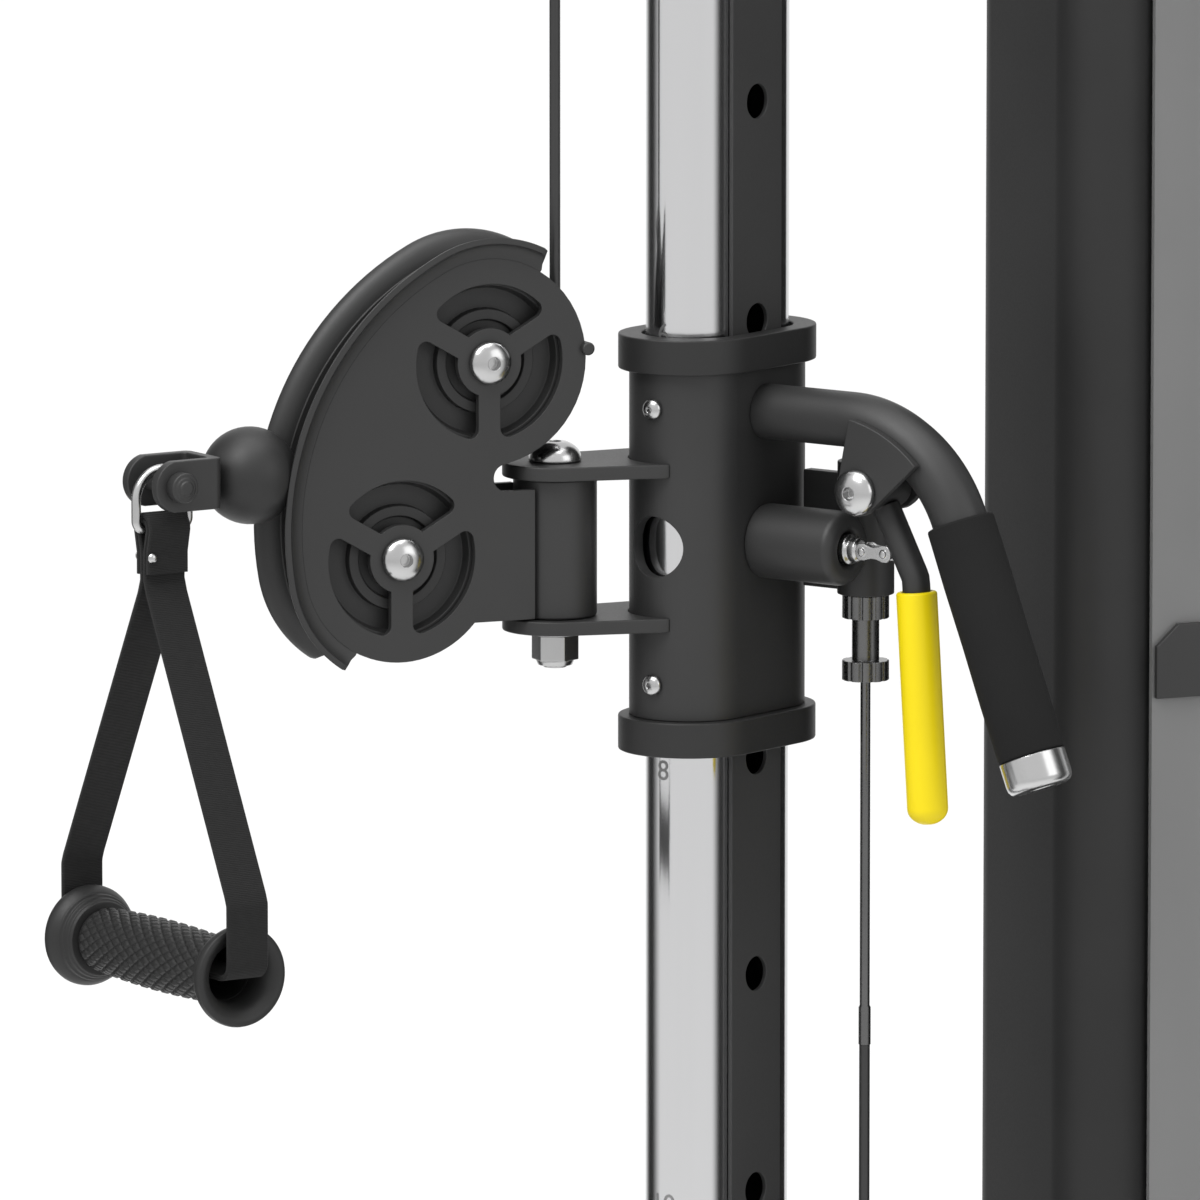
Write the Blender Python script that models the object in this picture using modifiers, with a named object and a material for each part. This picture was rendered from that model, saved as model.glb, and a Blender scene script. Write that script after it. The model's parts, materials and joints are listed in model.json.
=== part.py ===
"""Adjustable cable crossover tower: column, sliding carriage, swivelling pulley head, handle, weight stack.

Metres, +Z up. The front of the tower is -Y. The origin is on the floor, under the middle of the base.
Places on the tower are given from the column's axis, which stands COLUMN_Y behind the origin's X axis.
The column and its carriage are turned: U is the plan direction of the column's rounded front edge and
N is the plan direction of its perforated flat.
"""
import math

import bmesh
import bpy
from mathutils import Matrix, Vector

# ---- driving dimensions ----
GAP = 0.0003
COLUMN_Y = -0.09
U = Vector((0.5, -math.sqrt(0.75), 0.0))
N = Vector((math.sqrt(0.75), 0.5, 0.0))
UP = Vector((0.0, 0.0, 1.0))
SIDE = Vector((1.0, 0.0, 0.0))
FORWARD = Vector((0.0, -1.0, 0.0))

BASE_HEIGHT = 0.080
BASE_FRONT = -0.340
BASE_REAR = 0.520
BASE_HALF_WIDTH = 0.300
BAR_DEPTH = 0.065
RAIL_INNER = 0.050
RAIL_OUTER = 0.095
COLUMN_BAR = 0.048
BEAM_BOTTOM = 2.150
BEAM_HEIGHT = 0.110
BEAM_HALF_WIDTH = 0.030
BEAM_WALL = 0.004
BEAM_FRONT = -0.100

COLUMN_HALF = (0.041, 0.020)
COLUMN_WALL = 0.003
COLUMN_SLOT_HALF = 0.013
STRIP_HALF_WIDTH = 0.0185
STRIP_THICKNESS = 0.002
HOLE_RADIUS = 0.008
HOLE_PITCH = 0.100
TOP_HOLE_Z = 2.000
HOLE_COUNT = 18

POST_Y = 0.177
REAR_POST_Y = 0.480
POST_HALF = (0.060, 0.025)
POST_WALL = 0.003
PANEL_INNER_X = 0.058
PANEL_THICKNESS = 0.003
PANEL_FRONT_Y = 0.190
PANEL_REAR_Y = 0.467

CARRIAGE_Z = 1.400
SLEEVE_HALF = (0.0485, 0.0275)
SLEEVE_BORE = (0.0425, 0.0232)
SLEEVE_HALF_HEIGHT = 0.079
COLLAR_HALF = (0.0535, 0.0325)
COLLAR_HEIGHT = 0.016
WINDOW_RADIUS = 0.014

PIVOT_Y = -0.080
BRACKET_INNER_Z = 0.032
BRACKET_OUTER_Z = 0.0384
BRACKET_RADIUS = 0.024
PIVOT_RADIUS = 0.006
BARREL_RADIUS = 0.019

CABLE_RADIUS = 0.0025
WRAP_RADIUS = 0.038
PULLEY_RADIUS = 0.045
PULLEY_HALF_WIDTH = 0.010
AXLE_RADIUS = 0.005
LOW_WRAP_RADIUS = 0.028
LOW_PULLEY_RADIUS = 0.035
LOW_PULLEY_Z = 0.045

CHEEK_INNER = 0.011
CHEEK_OUTER = 0.0145
UPPER_HUB = (0.038, 0.087)
LOWER_HUB = (0.0807, 0.0)
LOBE_RADIUS = 0.047
BACK_ARC_OFFSET = 0.0655
LIP_HEIGHT = 0.010
LIP_FLARE = 0.008
WINDOW_OUTER = 0.0356
WINDOW_INNER = 0.0155
WINDOW_CORNER = 0.004
SPOKE_HALF = 0.0053

BALL_AT = (0.1486, 0.040)
BALL_RADIUS = 0.022
HANDLE_AZIMUTH = math.radians(10.0)
CLEVIS_LENGTH = 0.036
CLEVIS_HALF_WIDTH = 0.015
CLEVIS_THICKNESS = 0.005
CLEVIS_HALF_HEIGHT = 0.0115
PIN_AHEAD = 0.046
PIN_RADIUS = 0.004
RING_WIRE = 0.0022
RING_HALF_LENGTH = 0.0135
RING_HEIGHT = 0.0266
STRAP_HALF_WIDTH = 0.0105
STRAP_THICKNESS = 0.0025
GRIP_DROP = 0.194
GRIP_HALF = 0.052
GRIP_BORE = 0.0125
CAP_END = 0.0675

HANDLE_TUBE_RADIUS = 0.0127
HANDLE_Z = 0.0592
HANDLE_STRAIGHT = 0.0477
HANDLE_BEND = 0.065
HANDLE_TURN = math.radians(68.7)
HANDLE_GRIP_LENGTH = 0.110
LEVER_PIVOT = (0.063, 0.0292)
LEVER_KNEE = (0.0839, -0.010)
LEVER_LEAN = math.radians(3.8)
LEVER_RADIUS = 0.00635
LEVER_BOLT_RADIUS = 0.004
GUSSET_INNER = 0.0131
GUSSET_THICKNESS = 0.004
HOUSING_RADIUS = 0.017
HOUSING_LENGTH = 0.047
PLUNGER_RADIUS = 0.007
PLUNGER_TIP = COLUMN_HALF[1] + GAP + STRIP_THICKNESS + GAP
ANCHOR_N = 0.061
ANCHOR_U = -0.031

STACK_Y = 0.325
STACK_HALF = (0.050, 0.110)
STACK_BASE_TOP = 0.100
PLATE_PITCH = 0.030
PLATES_BELOW = 8
PLATES_LIFTED = 8
ROD_X = 0.028
ROD_RADIUS = 0.006
SELECTOR_Y = STACK_Y - 0.025
SELECTOR_RADIUS = 0.005
FLOAT_RISE = 0.080

TOP_PULLEY_Z = 2.205
FRONT_CABLE_Y = PIVOT_Y
TOP_FRONT_Y = FRONT_CABLE_Y + WRAP_RADIUS
TOP_MIDDLE_Y = STACK_Y - 2 * WRAP_RADIUS
TOP_REAR_Y = STACK_Y + 2 * WRAP_RADIUS
REAR_CABLE_Y = TOP_REAR_Y + WRAP_RADIUS

# ---- materials: colour, roughness, metallic, alpha ----
MATERIALS = {
    "black_coat": ((0.040, 0.040, 0.042), 0.45, 0.0, 1.0),
    "chrome": ((0.80, 0.81, 0.83), 0.06, 1.0, 1.0),
    "black_strip": ((0.020, 0.020, 0.022), 0.5, 0.0, 1.0),
    "smoked_panel": ((0.10, 0.10, 0.11), 0.15, 0.0, 0.45),
    "black_plastic": ((0.025, 0.025, 0.027), 0.4, 0.0, 1.0),
    "black_foam": ((0.015, 0.015, 0.016), 0.8, 0.0, 1.0),
    "bright_steel": ((0.62, 0.62, 0.63), 0.25, 1.0, 1.0),
    "yellow_plastic": ((0.90, 0.74, 0.015), 0.35, 0.0, 1.0),
    "cable_jacket": ((0.012, 0.012, 0.013), 0.35, 0.0, 1.0),
    "webbing": ((0.018, 0.018, 0.020), 0.85, 0.0, 1.0),
    "grey_iron": ((0.09, 0.09, 0.095), 0.55, 0.3, 1.0),
}


# ---- scene helpers ----
def clear_scene():
    for old in list(bpy.data.objects):
        bpy.data.objects.remove(old, do_unlink=True)


def new_collection(name):
    collection = bpy.data.collections.new(name)
    bpy.context.scene.collection.children.link(collection)
    return collection


def make_materials():
    made = {}
    for name, (colour, roughness, metallic, alpha) in MATERIALS.items():
        material = bpy.data.materials.new(name)
        material.use_nodes = True
        shader = material.node_tree.nodes["Principled BSDF"]
        shader.inputs["Base Color"].default_value = (*colour, 1.0)
        shader.inputs["Roughness"].default_value = roughness
        shader.inputs["Metallic"].default_value = metallic
        shader.inputs["Alpha"].default_value = alpha
        made[name] = material
    return made


clear_scene()
PARTS = new_collection("cable_crossover_tower")
CUTTERS = new_collection("cutters")
MADE = make_materials()


def tower(x, y, z):
    """A point given from the column's axis at floor level."""
    return Vector((x, COLUMN_Y + y, z))


def carriage(u, n, z):
    """A point given from the column's axis at the carriage's middle, along U and N."""
    return tower(0, 0, CARRIAGE_Z + z) + u * U + n * N


def placed(origin, x_axis, y_axis):
    """The matrix of a local frame with these X and Y directions."""
    z_axis = x_axis.cross(y_axis)
    matrix = Matrix((x_axis, y_axis, z_axis)).transposed().to_4x4()
    matrix.translation = origin
    return matrix


def add(name, mesh, matrix, material, parent=None, smooth=40.0):
    obj = bpy.data.objects.new(name, mesh)
    PARTS.objects.link(obj)
    obj.matrix_world = matrix
    if not mesh.materials:
        mesh.materials.append(MADE[material])
    if smooth:
        mesh.shade_smooth()
        mesh.set_sharp_from_angle(angle=math.radians(smooth))
    if parent is not None:
        obj.parent = parent
        obj.matrix_parent_inverse = Matrix.Translation(parent["world"]).inverted()
    return obj


def joint_empty(name, point, parent=None):
    empty = bpy.data.objects.new(name, None)
    PARTS.objects.link(empty)
    empty.location = point
    if parent is not None:
        empty.parent = parent
        empty.location = Vector(point) - Vector(parent["world"])
    empty["world"] = tuple(point)
    return empty


def curve_mesh(curve):
    """Turns a curve into a welded mesh."""
    holder = bpy.data.objects.new("curve_holder", curve)
    bpy.context.scene.collection.objects.link(holder)
    graph = bpy.context.evaluated_depsgraph_get()
    graph.update()
    mesh = bpy.data.meshes.new_from_object(holder.evaluated_get(graph))
    bpy.data.objects.remove(holder, do_unlink=True)
    work = bmesh.new()
    work.from_mesh(mesh)
    bmesh.ops.remove_doubles(work, verts=work.verts, dist=1e-6)
    bmesh.ops.recalc_face_normals(work, faces=work.faces)
    work.to_mesh(mesh)
    work.free()
    return mesh


def outline_mesh(loops, thickness):
    """A flat outline with holes, as a plate of this thickness about its own XY plane."""
    curve = bpy.data.curves.new("outline", "CURVE")
    curve.dimensions = "2D"
    curve.fill_mode = "BOTH"
    curve.extrude = thickness / 2
    for loop in loops:
        spline = curve.splines.new("POLY")
        spline.points.add(len(loop) - 1)
        for point, (x, y) in zip(spline.points, loop):
            point.co = (x, y, 0, 1)
        spline.use_cyclic_u = True
    return curve_mesh(curve)


def plate(name, loops, thickness, matrix, material, parent=None, bevel=0.0):
    obj = add(name, outline_mesh(loops, thickness), matrix, material, parent, smooth=30.0)
    if bevel:
        modifier = obj.modifiers.new("edge", "BEVEL")
        modifier.width = bevel
        modifier.segments = 1
        modifier.limit_method = "ANGLE"
        modifier.angle_limit = math.radians(50)
    return obj


def tube(name, points, radius, material, parent=None, cyclic=False, resolution=2):
    curve = bpy.data.curves.new(name, "CURVE")
    curve.dimensions = "3D"
    curve.bevel_depth = radius
    curve.bevel_resolution = resolution
    curve.use_fill_caps = True
    spline = curve.splines.new("POLY")
    spline.points.add(len(points) - 1)
    for point, place in zip(spline.points, points):
        point.co = (*place, 1)
    spline.use_cyclic_u = cyclic
    return add(name, curve_mesh(curve), Matrix(), material, parent)


def turned(name, profile, matrix, material, parent=None, steps=20, closed=False):
    """Turns a profile of (radius, height) points about local Z, listed top to bottom on the outside."""
    mesh = bpy.data.meshes.new(name)
    work = bmesh.new()
    verts = [work.verts.new((radius, 0, height)) for radius, height in profile]
    for first, second in zip(verts, verts[1:]):
        work.edges.new((first, second))
    if closed:
        work.edges.new((verts[-1], verts[0]))
    work.to_mesh(mesh)
    work.free()
    obj = add(name, mesh, matrix, material, parent, smooth=0)
    screw = obj.modifiers.new("turn", "SCREW")
    screw.steps = steps
    screw.render_steps = steps
    screw.use_merge_vertices = True
    screw.merge_threshold = 0.00005
    screw.use_smooth_shade = True
    return obj


def box(name, low, high, material, parent=None, bevel=0.0):
    low, high = Vector(low), Vector(high)
    mesh = bpy.data.meshes.new(name)
    work = bmesh.new()
    bmesh.ops.create_cube(work, size=1.0, matrix=Matrix.Diagonal((*(high - low), 1.0)))
    work.to_mesh(mesh)
    work.free()
    obj = add(name, mesh, Matrix.Translation((low + high) / 2), material, parent, smooth=30.0)
    if bevel:
        modifier = obj.modifiers.new("edge", "BEVEL")
        modifier.width = bevel
        modifier.segments = 2
    return obj


def cutter(name, mesh, matrix):
    obj = bpy.data.objects.new(name, mesh)
    CUTTERS.objects.link(obj)
    obj.matrix_world = matrix
    obj.hide_render = True
    obj.display_type = "WIRE"
    return obj


def cylinder_mesh(radius, length, segments=24):
    mesh = bpy.data.meshes.new("cylinder")
    work = bmesh.new()
    ends = {"radius1": radius, "radius2": radius}
    bmesh.ops.create_cone(work, cap_ends=True, segments=segments, depth=length, **ends)
    work.to_mesh(mesh)
    work.free()
    return mesh


def combine(obj, other, operation):
    modifier = obj.modifiers.new(operation.lower(), "BOOLEAN")
    modifier.operation = operation
    modifier.solver = "EXACT"
    modifier.object = other


# ---- outline helpers, all in metres ----
def arc(centre, radius, start, end, steps):
    """Points on an arc, from start to end degrees."""
    points = []
    for index in range(steps + 1):
        angle = math.radians(start + (end - start) * index / steps)
        points.append((centre[0] + radius * math.cos(angle), centre[1] + radius * math.sin(angle)))
    return points


def circle(centre, radius, steps=12):
    return arc(centre, radius, 0, 360, steps)[:-1]


def stadium(half, grow=0.0, steps=10):
    """A flat oval with its long axis on X, from its half length and half thickness."""
    radius = half[1] + grow
    offset = half[0] - half[1]
    return arc((offset, 0), radius, -90, 90, steps) + arc((-offset, 0), radius, 90, 270, steps)


def rectangle(x0, y0, x1, y1):
    return [(x0, y0), (x1, y0), (x1, y1), (x0, y1)]


# ---- the tower ----
def upright(name, loops, plan_axis, y, material):
    """A vertical tube between the base and the beam."""
    bottom = BASE_HEIGHT + GAP
    top = BEAM_BOTTOM - GAP
    matrix = placed(tower(0, y, (bottom + top) / 2), plan_axis, UP.cross(plan_axis))
    return plate(name, loops, top - bottom, matrix, material)


def make_base():
    rear_bar = BASE_REAR - BAR_DEPTH
    front_bar = BASE_FRONT + BAR_DEPTH
    right = [(BASE_HALF_WIDTH, BASE_FRONT), (BASE_HALF_WIDTH, front_bar), (RAIL_OUTER, front_bar),
             (RAIL_OUTER, rear_bar), (BASE_HALF_WIDTH, rear_bar), (BASE_HALF_WIDTH, BASE_REAR)]
    left = [(-x, y) for x, y in reversed(right)]
    front_window = rectangle(-RAIL_INNER, front_bar, RAIL_INNER, -COLUMN_BAR)
    rear_window = rectangle(-RAIL_INNER, COLUMN_BAR, RAIL_INNER, rear_bar)
    matrix = placed(tower(0, 0, BASE_HEIGHT / 2), SIDE, -FORWARD)
    loops = [right + left, front_window, rear_window]
    plate("base_frame", loops, BASE_HEIGHT, matrix, "black_coat", bevel=0.004)


def make_column():
    """The flat oval column is open along one flat, which the perforated strip covers."""
    outer = stadium(COLUMN_HALF)
    inner = stadium(COLUMN_HALF, -COLUMN_WALL)
    half = len(outer) // 2
    edge = COLUMN_HALF[1]
    inside = edge - COLUMN_WALL
    loop = [(-COLUMN_SLOT_HALF, edge)] + outer[half:] + outer[:half] + [(COLUMN_SLOT_HALF, edge)]
    loop += [(COLUMN_SLOT_HALF, inside)] + inner[:half][::-1] + inner[half:][::-1]
    loop += [(-COLUMN_SLOT_HALF, inside)]
    upright("column", [loop], U, 0, "chrome")

    bottom_hole = TOP_HOLE_Z - HOLE_PITCH * (HOLE_COUNT - 1)
    low, high = bottom_hole - 0.05, TOP_HOLE_Z + 0.05
    middle = (low + high) / 2
    heights = [TOP_HOLE_Z - HOLE_PITCH * index - middle for index in range(HOLE_COUNT)]
    holes = [circle((0, height), HOLE_RADIUS) for height in heights]
    border = rectangle(-STRIP_HALF_WIDTH, low - middle, STRIP_HALF_WIDTH, high - middle)
    place = tower(0, 0, middle) + (COLUMN_HALF[1] + GAP + STRIP_THICKNESS / 2) * N
    plate("hole_strip", [border] + holes, STRIP_THICKNESS, placed(place, U, UP), "black_strip")


def make_posts():
    for name, y in (("post", POST_Y), ("rear_post", REAR_POST_Y)):
        upright(name, [stadium(POST_HALF), stadium(POST_HALF, -POST_WALL)], SIDE, y, "black_coat")


def make_beam():
    half, wall, height = BEAM_HALF_WIDTH, BEAM_WALL, BEAM_HEIGHT
    section = [(-half, 0), (-half, height), (half, height), (half, 0),
               (half - wall, 0), (half - wall, height - wall), (wall - half, height - wall), (wall - half, 0)]
    rear = REAR_POST_Y + POST_HALF[1]
    matrix = placed(tower(0, (BEAM_FRONT + rear) / 2, BEAM_BOTTOM), SIDE, UP)
    plate("top_beam", [section], rear - BEAM_FRONT, matrix, "black_coat")


def make_shroud():
    bottom, top = BASE_HEIGHT + GAP, BEAM_BOTTOM - GAP
    border = rectangle(PANEL_FRONT_Y, bottom, PANEL_REAR_Y, top)
    selector_z = STACK_BASE_TOP + GAP + PLATES_BELOW * PLATE_PITCH
    slot = rectangle(SELECTOR_Y - 0.020, selector_z - 0.020, SELECTOR_Y + 0.020, selector_z + 1.000)
    for name, side, loops in (("shroud_right", 1, [border]), ("shroud_left", -1, [border, slot])):
        middle = side * (PANEL_INNER_X + PANEL_THICKNESS / 2)
        plate(name, loops, PANEL_THICKNESS, placed(tower(middle, 0, 0), -FORWARD, UP), "smoked_panel")
    rear_face = POST_Y + POST_HALF[1]
    inner = PANEL_INNER_X - GAP
    box("cross_bracket", tower(-inner, rear_face + GAP, CARRIAGE_Z - 0.080),
        tower(inner, rear_face + 0.006, CARRIAGE_Z - 0.030), "black_coat", bevel=0.001)


# ---- pulleys and cables ----
def pulley_profile(outer, wrap, half, axle_low=None, axle_high=None):
    """A grooved wheel, with a bore, or with its own axle standing out to these heights."""
    groove = wrap - CABLE_RADIUS - 0.0005
    rim = [(outer, half), (outer, half - 0.002), (wrap, 0.0036), (groove, 0.002),
           (groove, -0.002), (wrap, -0.0036), (outer, 0.002 - half), (outer, -half)]
    bore = AXLE_RADIUS + GAP
    if axle_low is None:
        return [(bore, half)] + rim + [(bore, -half)]
    start = [(0, axle_high), (AXLE_RADIUS, axle_high), (AXLE_RADIUS, half)]
    return start + rim + [(AXLE_RADIUS, -half), (AXLE_RADIUS, axle_low), (0, axle_low)]


def make_pulley(name, centre, profile, parent=None, closed=False, steps=12):
    matrix = placed(centre, UP.cross(SIDE), UP)
    return turned(name, profile, matrix, "black_plastic", parent, steps=steps, closed=closed)


def make_tower_pulleys():
    reach = BEAM_HALF_WIDTH - BEAM_WALL - GAP
    profile = pulley_profile(PULLEY_RADIUS, WRAP_RADIUS, PULLEY_HALF_WIDTH, -reach, reach)
    for name, y in (("top_front_pulley", TOP_FRONT_Y), ("top_middle_pulley", TOP_MIDDLE_Y),
                    ("top_rear_pulley", TOP_REAR_Y)):
        make_pulley(name, tower(0, y, TOP_PULLEY_Z), profile)
    anchor = ANCHOR_U * U + ANCHOR_N * N
    low_reach = RAIL_INNER - GAP - anchor.x
    low_profile = pulley_profile(LOW_PULLEY_RADIUS, LOW_WRAP_RADIUS, PULLEY_HALF_WIDTH,
                                 -PULLEY_HALF_WIDTH - 0.002, low_reach)
    for name, y in (("low_front_pulley", anchor.y + LOW_WRAP_RADIUS),
                    ("low_rear_pulley", REAR_CABLE_Y - LOW_WRAP_RADIUS)):
        make_pulley(name, tower(anchor.x, y, LOW_PULLEY_Z), low_profile)


def in_plane(x, pairs):
    """Points of (y, z) from the column's axis, in a plane of constant X."""
    return [tower(x, y, z) for y, z in pairs]


def make_tower_cables():
    z = TOP_PULLEY_Z
    over = arc((TOP_FRONT_Y, z), WRAP_RADIUS, 180, 90, 8)
    over += arc((TOP_MIDDLE_Y, z), WRAP_RADIUS, 90, 0, 8)
    tube("top_cable", in_plane(0, over), CABLE_RADIUS, "cable_jacket", resolution=1)

    anchor = ANCHOR_U * U + ANCHOR_N * N
    front_y = anchor.y + LOW_WRAP_RADIUS
    rear_y = REAR_CABLE_Y - LOW_WRAP_RADIUS
    route = in_plane(0, arc((TOP_REAR_Y, z), WRAP_RADIUS, 180, 0, 12))
    route += in_plane(anchor.x, arc((rear_y, LOW_PULLEY_Z), LOW_WRAP_RADIUS, 0, -90, 8))
    route += in_plane(anchor.x, arc((front_y, LOW_PULLEY_Z), LOW_WRAP_RADIUS, -90, -180, 8))
    tube("rear_cable", route, CABLE_RADIUS, "cable_jacket", resolution=1)


def make_moving_cables():
    low_end = CARRIAGE_Z + UPPER_HUB[1] + GAP
    front = in_plane(0, [(FRONT_CABLE_Y, TOP_PULLEY_Z - GAP), (FRONT_CABLE_Y, low_end)])
    tube("front_cable", front, CABLE_RADIUS, "cable_jacket", resolution=1)
    anchor = ANCHOR_U * U + ANCHOR_N * N
    rise = in_plane(anchor.x, [(anchor.y, LOW_PULLEY_Z + GAP), (anchor.y, CARRIAGE_Z - 0.0645 - GAP)])
    tube("anchor_cable", rise, CABLE_RADIUS, "cable_jacket", resolution=1)
    floating_z = floating_height()
    loop = [(STACK_Y - WRAP_RADIUS, TOP_PULLEY_Z - GAP)]
    loop += arc((STACK_Y, floating_z), WRAP_RADIUS, 180, 360, 14)
    loop += [(STACK_Y + WRAP_RADIUS, TOP_PULLEY_Z - GAP)]
    tube("stack_cable", in_plane(0, loop), CABLE_RADIUS, "cable_jacket", resolution=1)


# ---- the weight stack ----
def floating_height():
    return STACK_BASE_TOP + 2 * GAP + (PLATES_BELOW + PLATES_LIFTED) * PLATE_PITCH + FLOAT_RISE


def stack_outline(count):
    """The side of a pile of plates, with a shallow groove at each seam."""
    half, groove = STACK_HALF[1], 0.0012
    side = [(half, 0)]
    for seam in range(1, count):
        z = seam * PLATE_PITCH
        side += [(half, z - groove), (half - groove, z), (half, z + groove)]
    side += [(half, count * PLATE_PITCH)]
    return side + [(-y, z) for y, z in reversed(side)]


def drill_rods(obj, height, bottom):
    for side in (-1, 1):
        hole = cylinder_mesh(ROD_RADIUS + 0.001, height + 0.02, 16)
        place = tower(side * ROD_X, STACK_Y, bottom + height / 2)
        combine(obj, cutter(f"{obj.name}_rod_hole_{side}", hole, Matrix.Translation(place)), "DIFFERENCE")


def make_stack(stack, selector):
    base_top = STACK_BASE_TOP
    half = PANEL_INNER_X - 0.0005
    box("stack_base", tower(-half, STACK_Y - STACK_HALF[1], BASE_HEIGHT + GAP),
        tower(half, STACK_Y + STACK_HALF[1], base_top), "black_coat", bevel=0.001)
    piles = (("resting_plates", base_top + GAP, PLATES_BELOW, None),
             ("lifted_plates", base_top + 2 * GAP + PLATES_BELOW * PLATE_PITCH, PLATES_LIFTED, stack))
    for name, bottom, count, parent in piles:
        matrix = placed(tower(0, STACK_Y, bottom), -FORWARD, UP)
        pile = plate(name, [stack_outline(count)], 2 * STACK_HALF[0], matrix, "grey_iron", parent)
        drill_rods(pile, count * PLATE_PITCH, bottom)
    selector_z = piles[1][1] + PLATE_PITCH / 2
    drill = placed(tower(-0.045, SELECTOR_Y, selector_z), FORWARD, UP)
    hole = cylinder_mesh(SELECTOR_RADIUS + 0.0005, 0.080, 16)
    combine(pile, cutter("selector_hole", hole, drill), "DIFFERENCE")

    for name, side in (("guide_rod_left", -1), ("guide_rod_right", 1)):
        bottom, top = base_top + GAP, BEAM_BOTTOM - GAP
        height = (top - bottom) / 2
        profile = [(0, height), (ROD_RADIUS, height), (ROD_RADIUS, -height), (0, -height)]
        place = Matrix.Translation(tower(side * ROD_X, STACK_Y, bottom + height))
        turned(name, profile, place, "chrome", steps=16)

    pin = [(0, 0.042), (0.004, 0.042), (SELECTOR_RADIUS, 0.040), (SELECTOR_RADIUS, -GAP), (0.012, -GAP),
           (0.014, -0.004), (0.014, -0.020), (0.011, -0.026), (0, -0.027)]
    matrix = placed(tower(-STACK_HALF[0] - GAP, SELECTOR_Y, selector_z), -FORWARD, UP)
    turned("selector_pin", pin, matrix, "yellow_plastic", selector, steps=16)

    floating_z = floating_height()
    top = piles[1][1] + PLATES_LIFTED * PLATE_PITCH
    make_floating_block(top, floating_z, stack)


def make_floating_block(top, floating_z, stack):
    """A bent yoke stands on the lifted plates and holds the floating pulley's axle."""
    outer, inner, foot = 0.0160, 0.0120, 0.006
    height = floating_z + 0.020 - top - GAP
    section = [(-outer, 0), (outer, 0), (outer, height), (inner, height), (inner, foot),
               (-inner, foot), (-inner, height), (-outer, height)]
    matrix = placed(tower(0, STACK_Y, top + GAP), SIDE, UP)
    plate("floating_yoke", [section], 0.040, matrix, "black_coat", stack)
    spin = joint_empty("floating_spin", tower(0, STACK_Y, floating_z), stack)
    reach = inner - GAP
    profile = pulley_profile(PULLEY_RADIUS, WRAP_RADIUS, PULLEY_HALF_WIDTH, -reach, reach)
    make_pulley("floating_pulley", tower(0, STACK_Y, floating_z), profile, spin)


# ---- the carriage ----
def ring(name, outer, bore, low, high, material, parent, bevel=0.0):
    matrix = placed(carriage(0, 0, (low + high) / 2), U, UP.cross(U))
    return plate(name, [stadium(outer), stadium(bore)], high - low, matrix, material, parent, bevel)


def make_sleeve(slide):
    sleeve = ring("carriage_sleeve", SLEEVE_HALF, SLEEVE_BORE, -SLEEVE_HALF_HEIGHT, SLEEVE_HALF_HEIGHT,
                  "black_coat", slide)
    window = placed(carriage(SLEEVE_HALF[0], 0, 0), N, UP)
    combine(sleeve, cutter("window_cutter", cylinder_mesh(WINDOW_RADIUS, 0.030), window), "DIFFERENCE")
    bore = placed(carriage(0, SLEEVE_HALF[1], 0), UP, U)
    hole = cylinder_mesh(PLUNGER_RADIUS + 0.0005, 0.020, 16)
    combine(sleeve, cutter("plunger_cutter", hole, bore), "DIFFERENCE")
    low = SLEEVE_HALF_HEIGHT + GAP
    bore_half = (0.0422, 0.0230)
    for name, bottom in (("upper_collar", low), ("lower_collar", -low - COLLAR_HEIGHT)):
        top = bottom + COLLAR_HEIGHT
        ring(name, COLLAR_HALF, bore_half, bottom, top, "black_plastic", slide, bevel=0.003)


def make_brackets(slide):
    rear = -0.016
    outline = arc((0, PIVOT_Y), BRACKET_RADIUS, 180, 360, 14)
    outline += [(0.046, -0.040), (0.046, rear), (-0.027, rear)]
    hole = circle((0, PIVOT_Y), PIVOT_RADIUS + GAP)
    for name, side in (("hinge_bracket_upper", 1), ("hinge_bracket_lower", -1)):
        middle = side * (BRACKET_INNER_Z + BRACKET_OUTER_Z) / 2
        thickness = BRACKET_OUTER_Z - BRACKET_INNER_Z
        matrix = placed(tower(0, 0, CARRIAGE_Z + middle), SIDE, -FORWARD)
        bracket = plate(name, [outline, hole], thickness, matrix, "black_coat", slide)
        sleeve = outline_mesh([stadium(SLEEVE_HALF, GAP)], 0.020)
        seat = placed(tower(0, 0, CARRIAGE_Z + middle), U, UP.cross(U))
        combine(bracket, cutter(name + "_seat", sleeve, seat), "DIFFERENCE")
    head, shank = 0.010, PIVOT_RADIUS
    top, low = BRACKET_OUTER_Z + GAP, -BRACKET_OUTER_Z - GAP
    bolt = [(0, 0.048), (0.005, 0.0472), (0.0085, 0.0445), (head, 0.041), (head, top), (shank, top),
            (shank, low), (0.012, low), (0.012, low - 0.002), (0.0108, low - 0.002), (0.0108, low - 0.014),
            (shank + 0.001, low - 0.017), (0, low - 0.017)]
    turned("pivot_bolt", bolt, Matrix.Translation(tower(0, PIVOT_Y, CARRIAGE_Z)), "bright_steel", slide)


def lever_plane(n_from_flat, z, u=0.0):
    """A point given from the sleeve's flat, in the plane of the carriage's handle and lever."""
    return carriage(u, SLEEVE_HALF[1] + n_from_flat, z)


def handle_route():
    centre = (HANDLE_STRAIGHT, HANDLE_Z - HANDLE_BEND)
    route = [(GAP, HANDLE_Z)] + arc(centre, HANDLE_BEND, 90, 90 - math.degrees(HANDLE_TURN), 8)
    end = route[-1]
    direction = (math.cos(HANDLE_TURN), -math.sin(HANDLE_TURN))
    return route, end, direction


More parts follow.
